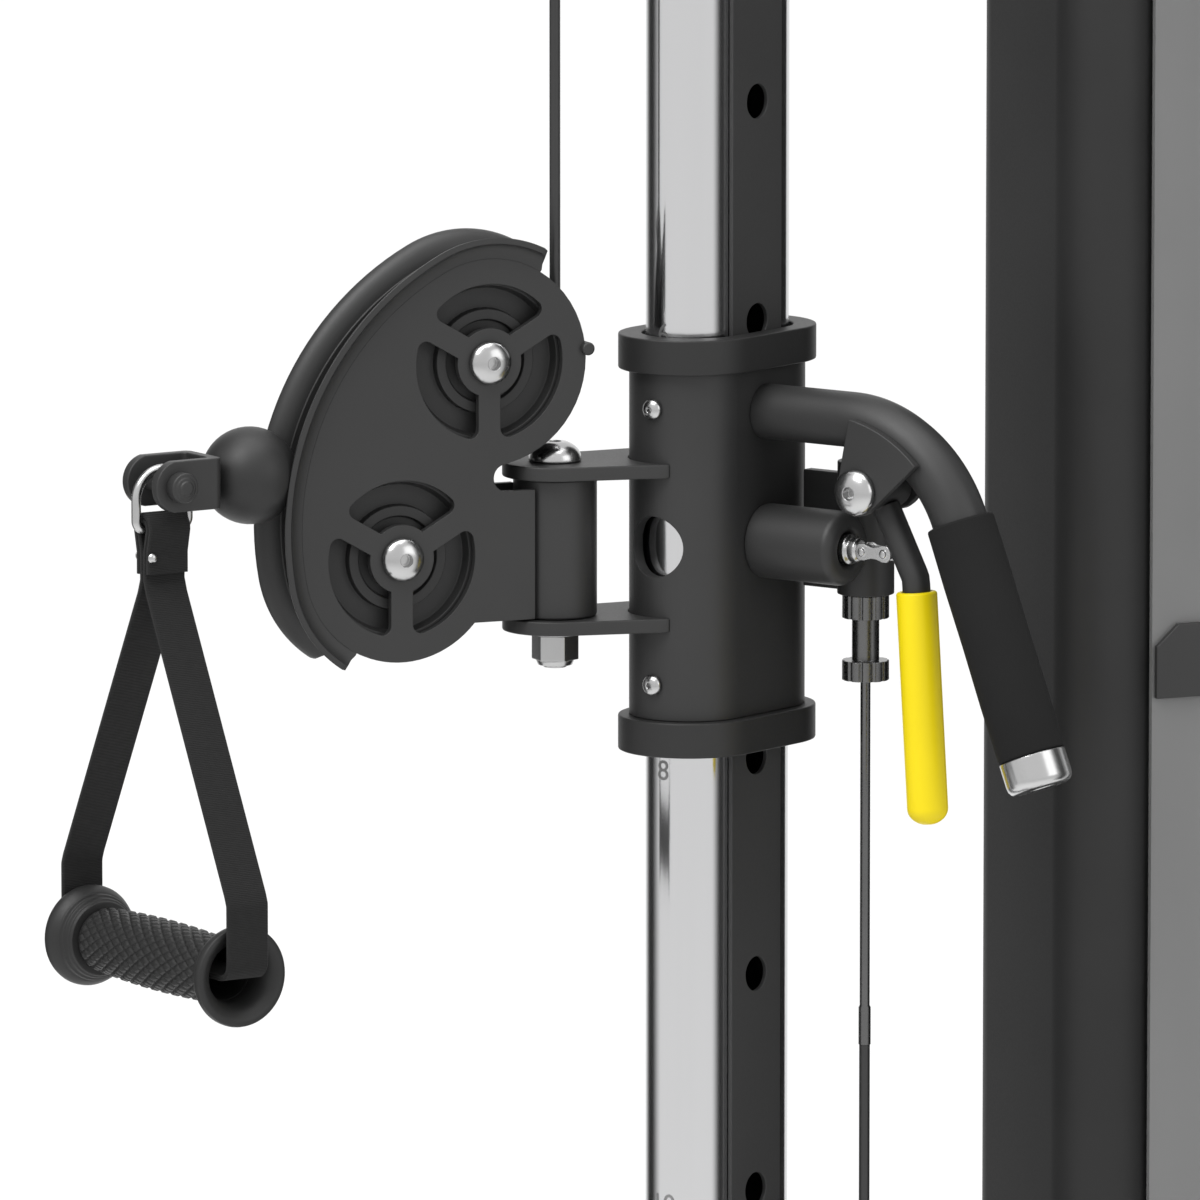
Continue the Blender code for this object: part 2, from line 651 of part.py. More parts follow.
def make_carriage_handle(slide):
    route, end, direction = handle_route()
    tip = (end[0] + direction[0] * HANDLE_GRIP_LENGTH, end[1] + direction[1] * HANDLE_GRIP_LENGTH)
    points = [lever_plane(n, z) for n, z in route + [tip]]
    tube("handle_tube", points, HANDLE_TUBE_RADIUS, "black_coat", slide, resolution=4)
    down = (lever_plane(*tip) - lever_plane(*end)).normalized()
    matrix = placed(lever_plane(*end), U, down.cross(U))
    bore, outer, length = HANDLE_TUBE_RADIUS + GAP, 0.0155, HANDLE_GRIP_LENGTH
    foam = [(bore, length), (outer - 0.001, length), (outer, length - 0.002), (outer, 0.002),
            (outer - 0.001, 0), (bore, 0)]
    turned("handle_foam", foam, matrix, "black_foam", slide, closed=True)
    end = length + 0.0155
    cap = [(0, end - 0.0012), (0.0055, end - 0.0012), (0.0065, end), (0.0125, end), (0.0145, end - 0.0013),
           (0.01525, end - 0.0035), (0.01525, length + GAP), (0, length + GAP)]
    turned("handle_end_cap", cap, matrix, "bright_steel", slide)


def make_gussets(slide):
    centre = (HANDLE_STRAIGHT, HANDLE_Z - HANDLE_BEND)
    outline = arc(centre, HANDLE_BEND + 0.0035, 46, 81, 8)
    outline += arc(LEVER_PIVOT, 0.011, 170, 310, 8)
    hole = circle(LEVER_PIVOT, LEVER_BOLT_RADIUS + GAP, 12)
    for name, side in (("lever_gusset_front", 1), ("lever_gusset_rear", -1)):
        middle = side * (GUSSET_INNER + GUSSET_THICKNESS / 2)
        matrix = placed(lever_plane(0, 0, middle), N, UP)
        plate(name, [outline, hole], GUSSET_THICKNESS, matrix, "black_coat", slide)
    face = GUSSET_INNER + GUSSET_THICKNESS + GAP
    bolt = [(0, face + 0.0065), (0.006, face + 0.0055), (0.0085, face + 0.0025), (0.0105, face + 0.002),
            (0.0105, face), (LEVER_BOLT_RADIUS, face), (LEVER_BOLT_RADIUS, -face), (0.0105, -face),
            (0.0105, -face - 0.002), (0.0085, -face - 0.0025), (0.006, -face - 0.0055), (0, -face - 0.0065)]
    matrix = placed(lever_plane(*LEVER_PIVOT), N, UP)
    turned("lever_bolt", bolt, matrix, "bright_steel", slide, steps=16)


def make_lever(lever):
    boss_half = GUSSET_INNER - 2 * GAP
    lower = (LEVER_KNEE[0] + 0.100 * math.sin(LEVER_LEAN), LEVER_KNEE[1] - 0.100 * math.cos(LEVER_LEAN))
    route = [lever_plane(*LEVER_PIVOT), lever_plane(*LEVER_KNEE), lever_plane(*lower)]
    rod = tube("release_lever", route, LEVER_RADIUS, "black_coat", lever, resolution=3)
    across = placed(lever_plane(*LEVER_PIVOT), N, UP)
    combine(rod, cutter("lever_boss", cylinder_mesh(0.0095, 2 * boss_half, 20), across), "UNION")
    hole = cylinder_mesh(LEVER_BOLT_RADIUS + GAP, 0.040, 12)
    combine(rod, cutter("lever_bolt_hole", hole, across), "DIFFERENCE")
    down = (route[2] - route[1]).normalized()
    matrix = placed(route[1] + 0.006 * down, U, down.cross(U))
    bore, outer = LEVER_RADIUS + GAP, 0.0093
    sleeve = [(0, 0.106), (0.005, 0.1045), (0.008, 0.1015), (outer, 0.097), (outer, 0.0015),
              (outer - 0.0015, 0), (bore, 0), (bore, 0.096), (0, 0.096)]
    turned("lever_sleeve", sleeve, matrix, "yellow_plastic", lever, steps=20)


def make_plunger(slide, plunger):
    along = placed(lever_plane(0, 0), UP, U)
    bore = PLUNGER_RADIUS + 0.0005
    radius, length = HOUSING_RADIUS, HOUSING_LENGTH
    housing = [(bore, length - 0.002), (bore + 0.002, length), (radius - 0.004, length),
               (radius, length - 0.004), (radius, GAP), (bore, GAP)]
    turned("plunger_housing", housing, along, "black_coat", slide, closed=True)
    tip = PLUNGER_TIP - SLEEVE_HALF[1]
    pin = [(0, 0.0535), (0.0045, 0.0535), (0.0055, 0.0525), (0.0055, 0.049), (PLUNGER_RADIUS, 0.048),
           (PLUNGER_RADIUS, tip + 0.0015), (PLUNGER_RADIUS - 0.0015, tip), (0, tip)]
    turned("plunger_pin", pin, along, "bright_steel", plunger, steps=16)


def make_anchor(slide):
    place = Matrix.Translation(carriage(ANCHOR_U, ANCHOR_N, 0))
    tube_wall = [(0.0068, 0.036), (0.013, 0.036), (0.013, -0.025), (0.0068, -0.025)]
    lug = turned("anchor_lug", tube_wall, place, "black_coat", slide, closed=True)
    web = outline_mesh([rectangle(SLEEVE_HALF[1] + GAP, -0.024, ANCHOR_N - 0.0125, 0.0295)], 0.006)
    combine(lug, cutter("anchor_web", web, placed(carriage(ANCHOR_U, 0, 0), N, UP)), "UNION")
    shank, nut = 0.00625, 0.0107
    fitting = [(0, 0.042), (0.006, 0.042), (0.009, 0.040), (0.009, 0.0363), (shank, 0.0363), (shank, -0.0253),
               (nut, -0.0253), (nut, -0.036), (shank, -0.036), (shank, -0.0555), (nut, -0.0555),
               (nut, -0.0645), (0, -0.0645)]
    turned("anchor_fitting", fitting, place, "bright_steel", slide, steps=12)


# ---- the pulley head ----
def head(s, z, x=0.0):
    """A point given from the swivel's axis, s ahead of it."""
    return tower(x, PIVOT_Y - s, CARRIAGE_Z + z)


def back_arc():
    """The centre and radius of the arc that joins the two lobes along the front."""
    middle = Vector(((UPPER_HUB[0] + LOWER_HUB[0]) / 2, (UPPER_HUB[1] + LOWER_HUB[1]) / 2))
    along = (Vector(UPPER_HUB) - Vector(LOWER_HUB)).normalized()
    centre = middle - BACK_ARC_OFFSET * Vector((along.y, -along.x))
    reach = (Vector(LOWER_HUB) - centre).length
    return centre, reach + LOBE_RADIUS


def angle_from(centre, point):
    return math.degrees(math.atan2(point[1] - centre[1], point[0] - centre[0]))


def front_edge(start, end, grow=0.0):
    """The front edge of a cheek, up from the lower lobe's start angle to the upper lobe's end angle."""
    centre, radius = back_arc()
    low, high = angle_from(centre, LOWER_HUB), angle_from(centre, UPPER_HUB)
    points = arc(LOWER_HUB, LOBE_RADIUS + grow, start, low, 10)
    points += arc(centre, radius + grow, low, high, 10)[1:-1]
    return points + arc(UPPER_HUB, LOBE_RADIUS + grow, high, end, 10)


def window_loop(hub, spoke):
    """The window between a spoke and the next one, with rounded outer corners."""
    following = spoke + 120
    reach = WINDOW_OUTER - WINDOW_CORNER
    turn = math.degrees(math.asin((SPOKE_HALF + WINDOW_CORNER) / reach))
    inner = math.degrees(math.asin(SPOKE_HALF / WINDOW_INNER))
    first = arc(hub, reach, spoke + turn, spoke + turn, 1)[0]
    last = arc(hub, reach, following - turn, following - turn, 1)[0]
    loop = arc(first, WINDOW_CORNER, spoke - 90, spoke + turn, 3)
    loop += arc(hub, WINDOW_OUTER, spoke + turn, following - turn, 6)[1:-1]
    loop += arc(last, WINDOW_CORNER, following - turn, following + 90, 3)
    return loop + arc(hub, WINDOW_INNER, following - inner, spoke + inner, 3)


def cheek_loops():
    tab_back, tab_low, slot_low, slot_radius = 0.0158, -0.031, 0.028, 0.0062
    slot_end = 0.036 - slot_radius
    start = -180 + math.degrees(math.asin(-tab_low / LOBE_RADIUS))
    outline = [(tab_back, tab_low)] + front_edge(start, 258)
    outline += arc((slot_end, slot_low + slot_radius), slot_radius, 90, -90, 8) + [(tab_back, slot_low)]
    loops = [outline]
    for hub in (UPPER_HUB, LOWER_HUB):
        loops.append(circle(hub, AXLE_RADIUS + GAP, 12))
        loops += [window_loop(hub, spoke) for spoke in (-90, 30, 150)]
    return loops


def lip_mesh(side):
    """A strip that flares outward along the front edge and fades out at both ends."""
    root = front_edge(-108, 163, -0.0025)
    tip = front_edge(-108, 163, LIP_HEIGHT)
    count = len(root)
    mesh = bpy.data.meshes.new("lip")
    work = bmesh.new()
    sections = []
    for index, (low, high) in enumerate(zip(root, tip)):
        share = min(1.0, (0.5 + min(index, count - 1 - index)) / 5.0)
        share = share * share * (3 - 2 * share)
        edge = Vector(low).lerp(Vector(high), 0.10 + 0.90 * share)
        flare = LIP_FLARE * share
        inner, outer = CHEEK_INNER + 0.0004, CHEEK_OUTER - 0.0003
        corners = ((low, inner), (low, outer), (edge, outer + flare), (edge, inner + flare))
        sections.append([work.verts.new((point[0], point[1], side * across)) for point, across in corners])
    for first, second in zip(sections, sections[1:]):
        for corner in range(4):
            following = (corner + 1) % 4
            work.faces.new((first[corner], first[following], second[following], second[corner]))
    work.faces.new(sections[0])
    work.faces.new(sections[-1])
    bmesh.ops.recalc_face_normals(work, faces=work.faces)
    work.to_mesh(mesh)
    work.free()
    return mesh


def make_head(swivel):
    matrix = placed(head(0, 0), FORWARD, UP)
    for name, side in (("cheek_left", 1), ("cheek_right", -1)):
        middle = side * (CHEEK_INNER + CHEEK_OUTER) / 2
        place = matrix @ Matrix.Translation((0, 0, middle))
        cheek = plate(name, cheek_loops(), CHEEK_OUTER - CHEEK_INNER, place, "black_coat", swivel)
        combine(cheek, cutter(name + "_lip", lip_mesh(side), matrix), "UNION")
    half = BRACKET_INNER_Z - GAP
    bore = PIVOT_RADIUS + GAP
    barrel = [(bore, half), (BARREL_RADIUS - 0.001, half), (BARREL_RADIUS, half - 0.001),
              (BARREL_RADIUS, 0.001 - half), (BARREL_RADIUS - 0.001, -half), (bore, -half)]
    turned("head_barrel", barrel, Matrix.Translation(head(0, 0)), "black_coat", swivel, closed=True)
    face = CHEEK_OUTER + GAP
    bolt = [(0, face + 0.006), (0.005, face + 0.0055), (0.0085, face + 0.003), (0.010, face),
            (AXLE_RADIUS, face), (AXLE_RADIUS, -face), (0.010, -face), (0.0085, -face - 0.003),
            (0.005, -face - 0.0055), (0, -face - 0.006)]
    profile = pulley_profile(PULLEY_RADIUS, WRAP_RADIUS, PULLEY_HALF_WIDTH)
    for place, hub in (("upper", UPPER_HUB), ("lower", LOWER_HUB)):
        centre = head(*hub)
        across = placed(centre, UP.cross(SIDE), UP)
        turned(f"head_{place}_bolt", bolt, across, "bright_steel", swivel, steps=16)
        spin = joint_empty(f"head_{place}_spin", centre, swivel)
        make_pulley(f"head_{place}_pulley", centre, profile, spin, closed=True, steps=24)
    ball = Vector(BALL_AT)
    hub = Vector(UPPER_HUB)
    lean = math.degrees(math.atan2(ball.y - (hub.y - WRAP_RADIUS), ball.x - hub.x))
    route = arc(UPPER_HUB, WRAP_RADIUS, 180, 270 + lean, 10)
    last = Vector(route[-1])
    route.append(tuple(last + (ball - last) * (1 - (BALL_RADIUS + GAP) / (ball - last).length)))
    tube("head_cable", [head(s, z) for s, z in route], CABLE_RADIUS, "cable_jacket", swivel, resolution=1)


# ---- the hand grip ----
AHEAD = Vector((math.sin(HANDLE_AZIMUTH), -math.cos(HANDLE_AZIMUTH), 0.0))
ACROSS = Vector((math.cos(HANDLE_AZIMUTH), math.sin(HANDLE_AZIMUTH), 0.0))


def hand(across, ahead, z):
    """A point given from the ball's centre, along the hand grip's own directions."""
    return head(*BALL_AT) + across * ACROSS + ahead * AHEAD + z * UP


def make_ball(swivel):
    mesh = bpy.data.meshes.new("ball_stop")
    work = bmesh.new()
    bmesh.ops.create_uvsphere(work, u_segments=20, v_segments=12, radius=BALL_RADIUS)
    work.to_mesh(mesh)
    work.free()
    add("ball_stop", mesh, Matrix.Translation(hand(0, 0, 0)), "black_plastic", swivel)


def make_clevis(clevis):
    rear = BALL_RADIUS + GAP + 0.0005
    half, wall = CLEVIS_HALF_WIDTH, CLEVIS_THICKNESS
    front = rear + CLEVIS_LENGTH
    outline = [(-half, front), (-half, rear + 0.004), (0.004 - half, rear), (half - 0.004, rear),
               (half, rear + 0.004), (half, front), (half - wall, front),
               (half - wall, rear + wall), (wall - half, rear + wall), (wall - half, front)]
    matrix = placed(hand(0, 0, 0), ACROSS, AHEAD)
    strap = plate("clevis", [outline], 2 * CLEVIS_HALF_HEIGHT, matrix, "black_coat", clevis)
    side = placed(hand(0, 0, 0), AHEAD, UP)
    end_radius = CLEVIS_HALF_HEIGHT + 0.0003
    profile = arc((PIN_AHEAD, 0), end_radius, -90, 90, 12) + [(0, end_radius), (0, -end_radius)]
    combine(strap, cutter("clevis_ends", outline_mesh([profile], 4 * half), side), "INTERSECT")
    across = placed(hand(0, PIN_AHEAD, 0), UP.cross(ACROSS), UP)
    pin = cylinder_mesh(PIN_RADIUS, 2 * half + 0.004, 16)
    combine(strap, cutter("clevis_pin", pin, across), "UNION")


def ring_top():
    return PIN_RADIUS + RING_WIRE + GAP


def make_ring(swing):
    top = ring_top()
    bottom = top - RING_HEIGHT
    radius = RING_HALF_LENGTH
    corner = 0.004
    loop = arc((0, top - radius), radius, 180, 0, 12)
    loop += arc((radius - corner, bottom + corner), corner, 0, -90, 3)
    loop += arc((corner - radius, bottom + corner), corner, -90, -180, 3)
    points = [hand(0, PIN_AHEAD + ahead, z) for ahead, z in loop]
    tube("d_ring", points, RING_WIRE, "bright_steel", swing, cyclic=True, resolution=2)
    return bottom


def make_strap(swing, bar_z):
    """One webbing loop: round the ring's bar, riveted below it, then down both sides and through the grip."""
    eye, wall = RING_WIRE + 0.0004, STRAP_THICKNESS
    neck, foot, corner = 0.023, GRIP_DROP, 0.083
    outer = arc((0, 0), eye + wall, -30, 210, 12)
    left = [(-wall, -0.008), (-wall, -neck), (0.0015 - corner, 0.008 - foot), (-corner, 0.003 - foot),
            (0.004 - corner, -foot - wall / 2)]
    outer += left + [(-x, z) for x, z in reversed(left)]
    inside = [(0, -neck - 0.004), (0.0048 - corner, 0.0065 - foot), (0.0035 - corner, 0.003 - foot),
              (0.0060 - corner, wall / 2 - foot)]
    inner = inside + [(-x, z) for x, z in reversed(inside[1:])]
    matrix = placed(hand(0, PIN_AHEAD, bar_z), ACROSS, UP)
    plate("strap", [outer, circle((0, 0), eye, 10), inner], 2 * STRAP_HALF_WIDTH, matrix, "webbing", swing)


def make_grip(spin, bar_z):
    matrix = placed(hand(0, PIN_AHEAD, bar_z - GRIP_DROP), UP.cross(ACROSS), UP)
    half, bore = GRIP_HALF, GRIP_BORE
    steps = 8
    side = []
    for index in range(steps + 1):
        height = half - 2 * half * index / steps
        side.append((0.016 - 0.0018 * (height / half) ** 2, height))
    turned("grip", [(bore, half)] + side + [(bore, -half)], matrix, "black_plastic", spin, closed=True)
    cap = [(bore, half + GAP), (0.0150, half + 0.0110), (0.0175, half + 0.0110), (0.0205, CAP_END),
           (0.0225, CAP_END), (0.0230, CAP_END - 0.0015), (0.0205, half + 0.007), (0.0165, half + GAP)]
    mirrored = [(radius, -height) for radius, height in reversed(cap)]
    turned("grip_cap_right", cap, matrix, "black_plastic", spin, closed=True)
    turned("grip_cap_left", mirrored, matrix, "black_plastic", spin, closed=True)


# ---- everything together ----
def main():
    slide = joint_empty("carriage_slide", tower(0, 0, CARRIAGE_Z))
    swivel = joint_empty("head_swivel", head(0, 0), slide)
    clevis = joint_empty("clevis_swivel", hand(0, 0, 0), swivel)
    swing = joint_empty("handle_swing", hand(0, PIN_AHEAD, 0), clevis)
    lever = joint_empty("lever_pivot", lever_plane(*LEVER_PIVOT), slide)
    plunger = joint_empty("plunger_slide", lever_plane(0, 0), slide)
    stack = joint_empty("stack_lift", tower(0, STACK_Y, STACK_BASE_TOP))
    selector = joint_empty("selector_slide", tower(-STACK_HALF[0], SELECTOR_Y, STACK_BASE_TOP), stack)

    make_base()
    make_column()
    make_posts()
    make_beam()
    make_shroud()
    make_tower_pulleys()
    make_tower_cables()
    make_moving_cables()
    make_stack(stack, selector)

    make_sleeve(slide)
    make_brackets(slide)
    make_carriage_handle(slide)
    make_gussets(slide)
    make_lever(lever)
    make_plunger(slide, plunger)
    make_anchor(slide)

    make_head(swivel)
    make_ball(swivel)
    make_clevis(clevis)
    bar_z = make_ring(swing)
    make_strap(swing, bar_z)
    spin = joint_empty("grip_spin", hand(0, PIN_AHEAD, bar_z - GRIP_DROP), swing)
    make_grip(spin, bar_z)


main()
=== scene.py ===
"""The looks of the cable crossover tower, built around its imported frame.

Metres, +Z up, -Y the front, as in the frame. Places are given from the column's axis. U is the plan
direction of the column's rounded front edge and N that of its perforated flat. Pieces that the frame holds
only coarsely are built again here, finer and with their small details, at the same sizes.
"""

import json
from math import asin, atan2, cos, degrees, pi, radians, sin, sqrt

import bmesh
import bpy
from mathutils import Matrix, Vector


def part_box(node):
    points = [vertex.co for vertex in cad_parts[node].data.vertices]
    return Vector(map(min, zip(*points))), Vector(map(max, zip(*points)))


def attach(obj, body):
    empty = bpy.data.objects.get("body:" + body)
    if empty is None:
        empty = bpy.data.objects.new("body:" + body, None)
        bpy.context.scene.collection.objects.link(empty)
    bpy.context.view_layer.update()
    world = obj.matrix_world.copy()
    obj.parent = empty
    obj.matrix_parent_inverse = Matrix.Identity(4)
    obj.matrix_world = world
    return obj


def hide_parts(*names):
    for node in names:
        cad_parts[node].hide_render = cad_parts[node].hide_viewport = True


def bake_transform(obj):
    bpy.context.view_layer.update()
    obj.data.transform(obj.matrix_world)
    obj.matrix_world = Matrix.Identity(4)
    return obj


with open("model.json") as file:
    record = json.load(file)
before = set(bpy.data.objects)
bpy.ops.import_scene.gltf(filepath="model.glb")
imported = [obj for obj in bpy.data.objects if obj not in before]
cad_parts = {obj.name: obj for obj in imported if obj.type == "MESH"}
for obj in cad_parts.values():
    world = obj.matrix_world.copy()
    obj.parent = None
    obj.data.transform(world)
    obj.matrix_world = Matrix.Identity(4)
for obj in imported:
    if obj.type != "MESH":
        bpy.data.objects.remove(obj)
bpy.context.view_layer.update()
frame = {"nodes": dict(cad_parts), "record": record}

# ---- sizes and places, the same as the CAD part's ----
GAP = 0.0003
COLUMN_Y = -0.09
U = Vector((0.5, -sqrt(0.75), 0.0))
N = Vector((sqrt(0.75), 0.5, 0.0))
UP = Vector((0.0, 0.0, 1.0))
SIDE = Vector((1.0, 0.0, 0.0))
BACK = Vector((0.0, 1.0, 0.0))
CARRIAGE_Z = 1.4
COLUMN_CENTRE = Vector((0.0, COLUMN_Y, CARRIAGE_Z))
COLUMN_BOTTOM, COLUMN_TOP = 0.0803, 2.1497
COLUMN_MIDDLE = (COLUMN_BOTTOM + COLUMN_TOP) / 2
COLUMN_HALF = (0.041, 0.02)
COLUMN_WALL = 0.003
COLUMN_SLOT_HALF = 0.013
STRIP_HALF_WIDTH = 0.0185
STRIP_THICKNESS = 0.002
HOLE_RADIUS = 0.008
HOLE_PITCH = 0.1
TOP_HOLE_Z = 2.0
HOLE_COUNT = 18
POST_HALF = (0.06, 0.025)
POST_WALL = 0.003
POST_BEHIND, REAR_POST_BEHIND = 0.177, 0.48
SLEEVE_HALF = (0.0485, 0.0275)
SLEEVE_BORE = (0.0425, 0.0232)
SLEEVE_HALF_HEIGHT = 0.079
SLEEVE_EDGE = 0.0008
COLLAR_HALF = (0.0535, 0.0325)
COLLAR_BORE = (0.0422, 0.023)
COLLAR_HEIGHT = 0.016
WINDOW_RADIUS = 0.014
PIVOT_Y = -0.08
BRACKET_INNER_Z = 0.032
BRACKET_OUTER_Z = 0.0384
BRACKET_RADIUS = 0.024
PIVOT_RADIUS = 0.006
BARREL_RADIUS = 0.019
CABLE_RADIUS = 0.0025
WRAP_RADIUS = 0.038
PULLEY_RADIUS = 0.045
PULLEY_HALF_WIDTH = 0.01
AXLE_RADIUS = 0.005
CHEEK_INNER = 0.011
CHEEK_OUTER = 0.0145
UPPER_HUB = (0.038, 0.087)
LOWER_HUB = (0.0807, 0.0)
LOBE_RADIUS = 0.047
BACK_ARC_OFFSET = 0.0655
LIP_HEIGHT = 0.01
LIP_FLARE = 0.008
HUB_WINDOW = (0.0155, 0.0356)
HUB_WINDOW_CORNER = 0.004
SPOKE_HALF = 0.0053
BALL_AT = (0.1486, 0.04)
BALL_RADIUS = 0.022
HANDLE_AZIMUTH = radians(10.0)
AHEAD = Vector((sin(HANDLE_AZIMUTH), -cos(HANDLE_AZIMUTH), 0.0))
ACROSS = Vector((cos(HANDLE_AZIMUTH), sin(HANDLE_AZIMUTH), 0.0))
CLEVIS_LENGTH = 0.036
CLEVIS_HALF_WIDTH = 0.015
CLEVIS_THICKNESS = 0.005
CLEVIS_HALF_HEIGHT = 0.0115
PIN_AHEAD = 0.046
PIN_RADIUS = 0.004
RING_WIRE = 0.0022
RING_HALF_LENGTH = 0.0135
RING_HEIGHT = 0.0266
STRAP_HALF_WIDTH = 0.0105
STRAP_THICKNESS = 0.0025
GRIP_DROP = 0.194
GRIP_HALF = 0.052
GRIP_BORE = 0.0125
CAP_END = 0.0675
HANDLE_TUBE_RADIUS = 0.0127
HANDLE_Z = 0.0592
HANDLE_BEND = 0.065
HANDLE_CENTRE = (0.0477, HANDLE_Z - HANDLE_BEND)
HANDLE_TURN = radians(68.7)
HANDLE_GRIP_LENGTH = 0.11
LEVER_PIVOT = (0.063, 0.0292)
LEVER_KNEE = (0.0839, -0.01)
LEVER_LEAN = radians(3.8)
LEVER_RADIUS = 0.00635
LEVER_BOLT_RADIUS = 0.004
GUSSET_INNER = 0.0131
GUSSET_THICKNESS = 0.004
HOUSING_RADIUS = 0.017
HOUSING_LENGTH = 0.047
PLUNGER_RADIUS = 0.007
PLUNGER_TIP = COLUMN_HALF[1] + GAP + STRIP_THICKNESS + GAP - SLEEVE_HALF[1]
ANCHOR_N = 0.061
ANCHOR_U = -0.031

# ---- camera and studio ----
CAMERA_AZIMUTH = 67.0
CAMERA_ELEVATION = 8.5
CAMERA_LENS = 450.0
SENSOR_WIDTH = 36.0
CAMERA_SHIFT = (-0.0533, -0.0299)
FRAME_WIDTH = 0.546
WORLD_STRENGTH = 1.13
FLAG_DISTANCE = 1.6
FLAG_HEIGHT = 5.0
FLAGS = ((-52.0, 2.6), (158.0, 2.0))


def in_scene(name, data):
    obj = bpy.data.objects.new(name, data)
    bpy.context.scene.collection.objects.link(obj)
    return obj


def evaluated_mesh(obj):
    """A copy of the object's mesh with its modifiers applied."""
    bpy.context.view_layer.update()
    return bpy.data.meshes.new_from_object(obj.evaluated_get(bpy.context.evaluated_depsgraph_get()))


# ---- materials ----
class Nodes:
    """A small helper that adds and links shader nodes."""

    def __init__(self, name):
        self.material = bpy.data.materials.new(name)
        self.material.use_nodes = True
        self.tree = self.material.node_tree
        self.shader = self.tree.nodes["Principled BSDF"]
        self.coords = self.tree.nodes.new("ShaderNodeTexCoord")

    def add(self, kind, **settings):
        node = self.tree.nodes.new(kind)
        for key, value in settings.items():
            if key in node.inputs:
                node.inputs[key].default_value = value
            else:
                setattr(node, key, value)
        return node

    def link(self, source, target):
        self.tree.links.new(source, target)

    def feed(self, socket, source):
        self.link(source, self.shader.inputs[socket])

    def fix(self, socket, value):
        self.shader.inputs[socket].default_value = value

    def place(self, stretch=(1, 1, 1)):
        mapping = self.add("ShaderNodeMapping")
        mapping.inputs["Scale"].default_value = stretch
        self.link(self.coords.outputs["Object"], mapping.inputs["Vector"])
        return mapping.outputs["Vector"]

    def noise(self, scale, detail=4.0, stretch=(1, 1, 1)):
        node = self.add("ShaderNodeTexNoise", Scale=scale, Detail=detail)
        self.link(self.place(stretch), node.inputs["Vector"])
        return node.outputs["Fac"]

    def ramp(self, value, stops):
        node = self.add("ShaderNodeValToRGB")
        elements = node.color_ramp.elements
        while len(elements) < len(stops):
            elements.new(0.5)
        for element, (place, colour) in zip(elements, stops):
            element.position = place
            element.color = (*colour, 1.0)
        self.link(value, node.inputs["Fac"])
        return node.outputs["Color"]

    def remap(self, value, low, high):
        node = self.add("ShaderNodeMapRange")
        node.inputs["To Min"].default_value = low
        node.inputs["To Max"].default_value = high
        self.link(value, node.inputs["Value"])
        return node.outputs["Result"]

    def bump(self, height, strength, distance, rounding=0.0):
        node = self.add("ShaderNodeBump", Strength=strength, Distance=distance)
        self.link(height, node.inputs["Height"])
        if rounding:
            edge = self.add("ShaderNodeBevel", Radius=rounding)
            edge.samples = 4
            self.link(edge.outputs["Normal"], node.inputs["Normal"])
        self.link(node.outputs["Normal"], self.shader.inputs["Normal"])


def surface(name, dark, light, rough, metallic=0.0, grain=600.0, bump=0.08, cloud=9.0,
            rounding=0.0006, stretch=(1, 1, 1), shine=0.5):
    """A coated, moulded or plated surface: cloudy colour, uneven gloss and a fine grain."""
    build = Nodes(name)
    cloudy = build.noise(cloud, 5.0, stretch)
    grainy = build.noise(grain, 3.0, stretch)
    build.feed("Base Color", build.ramp(cloudy, ((0.3, dark), (0.72, light))))
    build.feed("Roughness", build.remap(grainy, *rough))
    build.fix("Metallic", metallic)
    build.fix("Specular IOR Level", shine)
    build.bump(grainy, bump, 0.0002, rounding)
    return build.material


def grey(value, tint=0.0):
    return (value, value, value * (1 + tint))


def smoked():
    """Tinted sheet: partly see-through, with a light haze."""
    build = Nodes("smoked_sheet")
    haze = build.noise(3.0, 4.0)
    build.feed("Base Color", build.ramp(haze, ((0.3, grey(0.14)), (0.7, grey(0.17)))))
    build.feed("Roughness", build.remap(haze, 0.1, 0.22))
    build.feed("Alpha", build.remap(haze, 0.7, 0.8))
    return build.material


def webbing():
    """Tight woven tape: fine ribs across the strap, over a soft fuzz."""
    build = Nodes("woven_tape")
    waves = build.add("ShaderNodeTexWave", Scale=420.0, Distortion=1.5, Detail=2.0)
    waves.bands_direction = "Z"
    build.link(build.place(), waves.inputs["Vector"])
    ribs = waves.outputs["Fac"]
    build.feed("Base Color", build.ramp(ribs, ((0.1, grey(0.005)), (0.9, grey(0.011)))))
    build.feed("Roughness", build.remap(build.noise(300.0), 0.7, 0.92))
    build.fix("Sheen Weight", 0.05)
    build.fix("Specular IOR Level", 0.2)
    build.bump(ribs, 0.5, 0.0003)
    return build.material


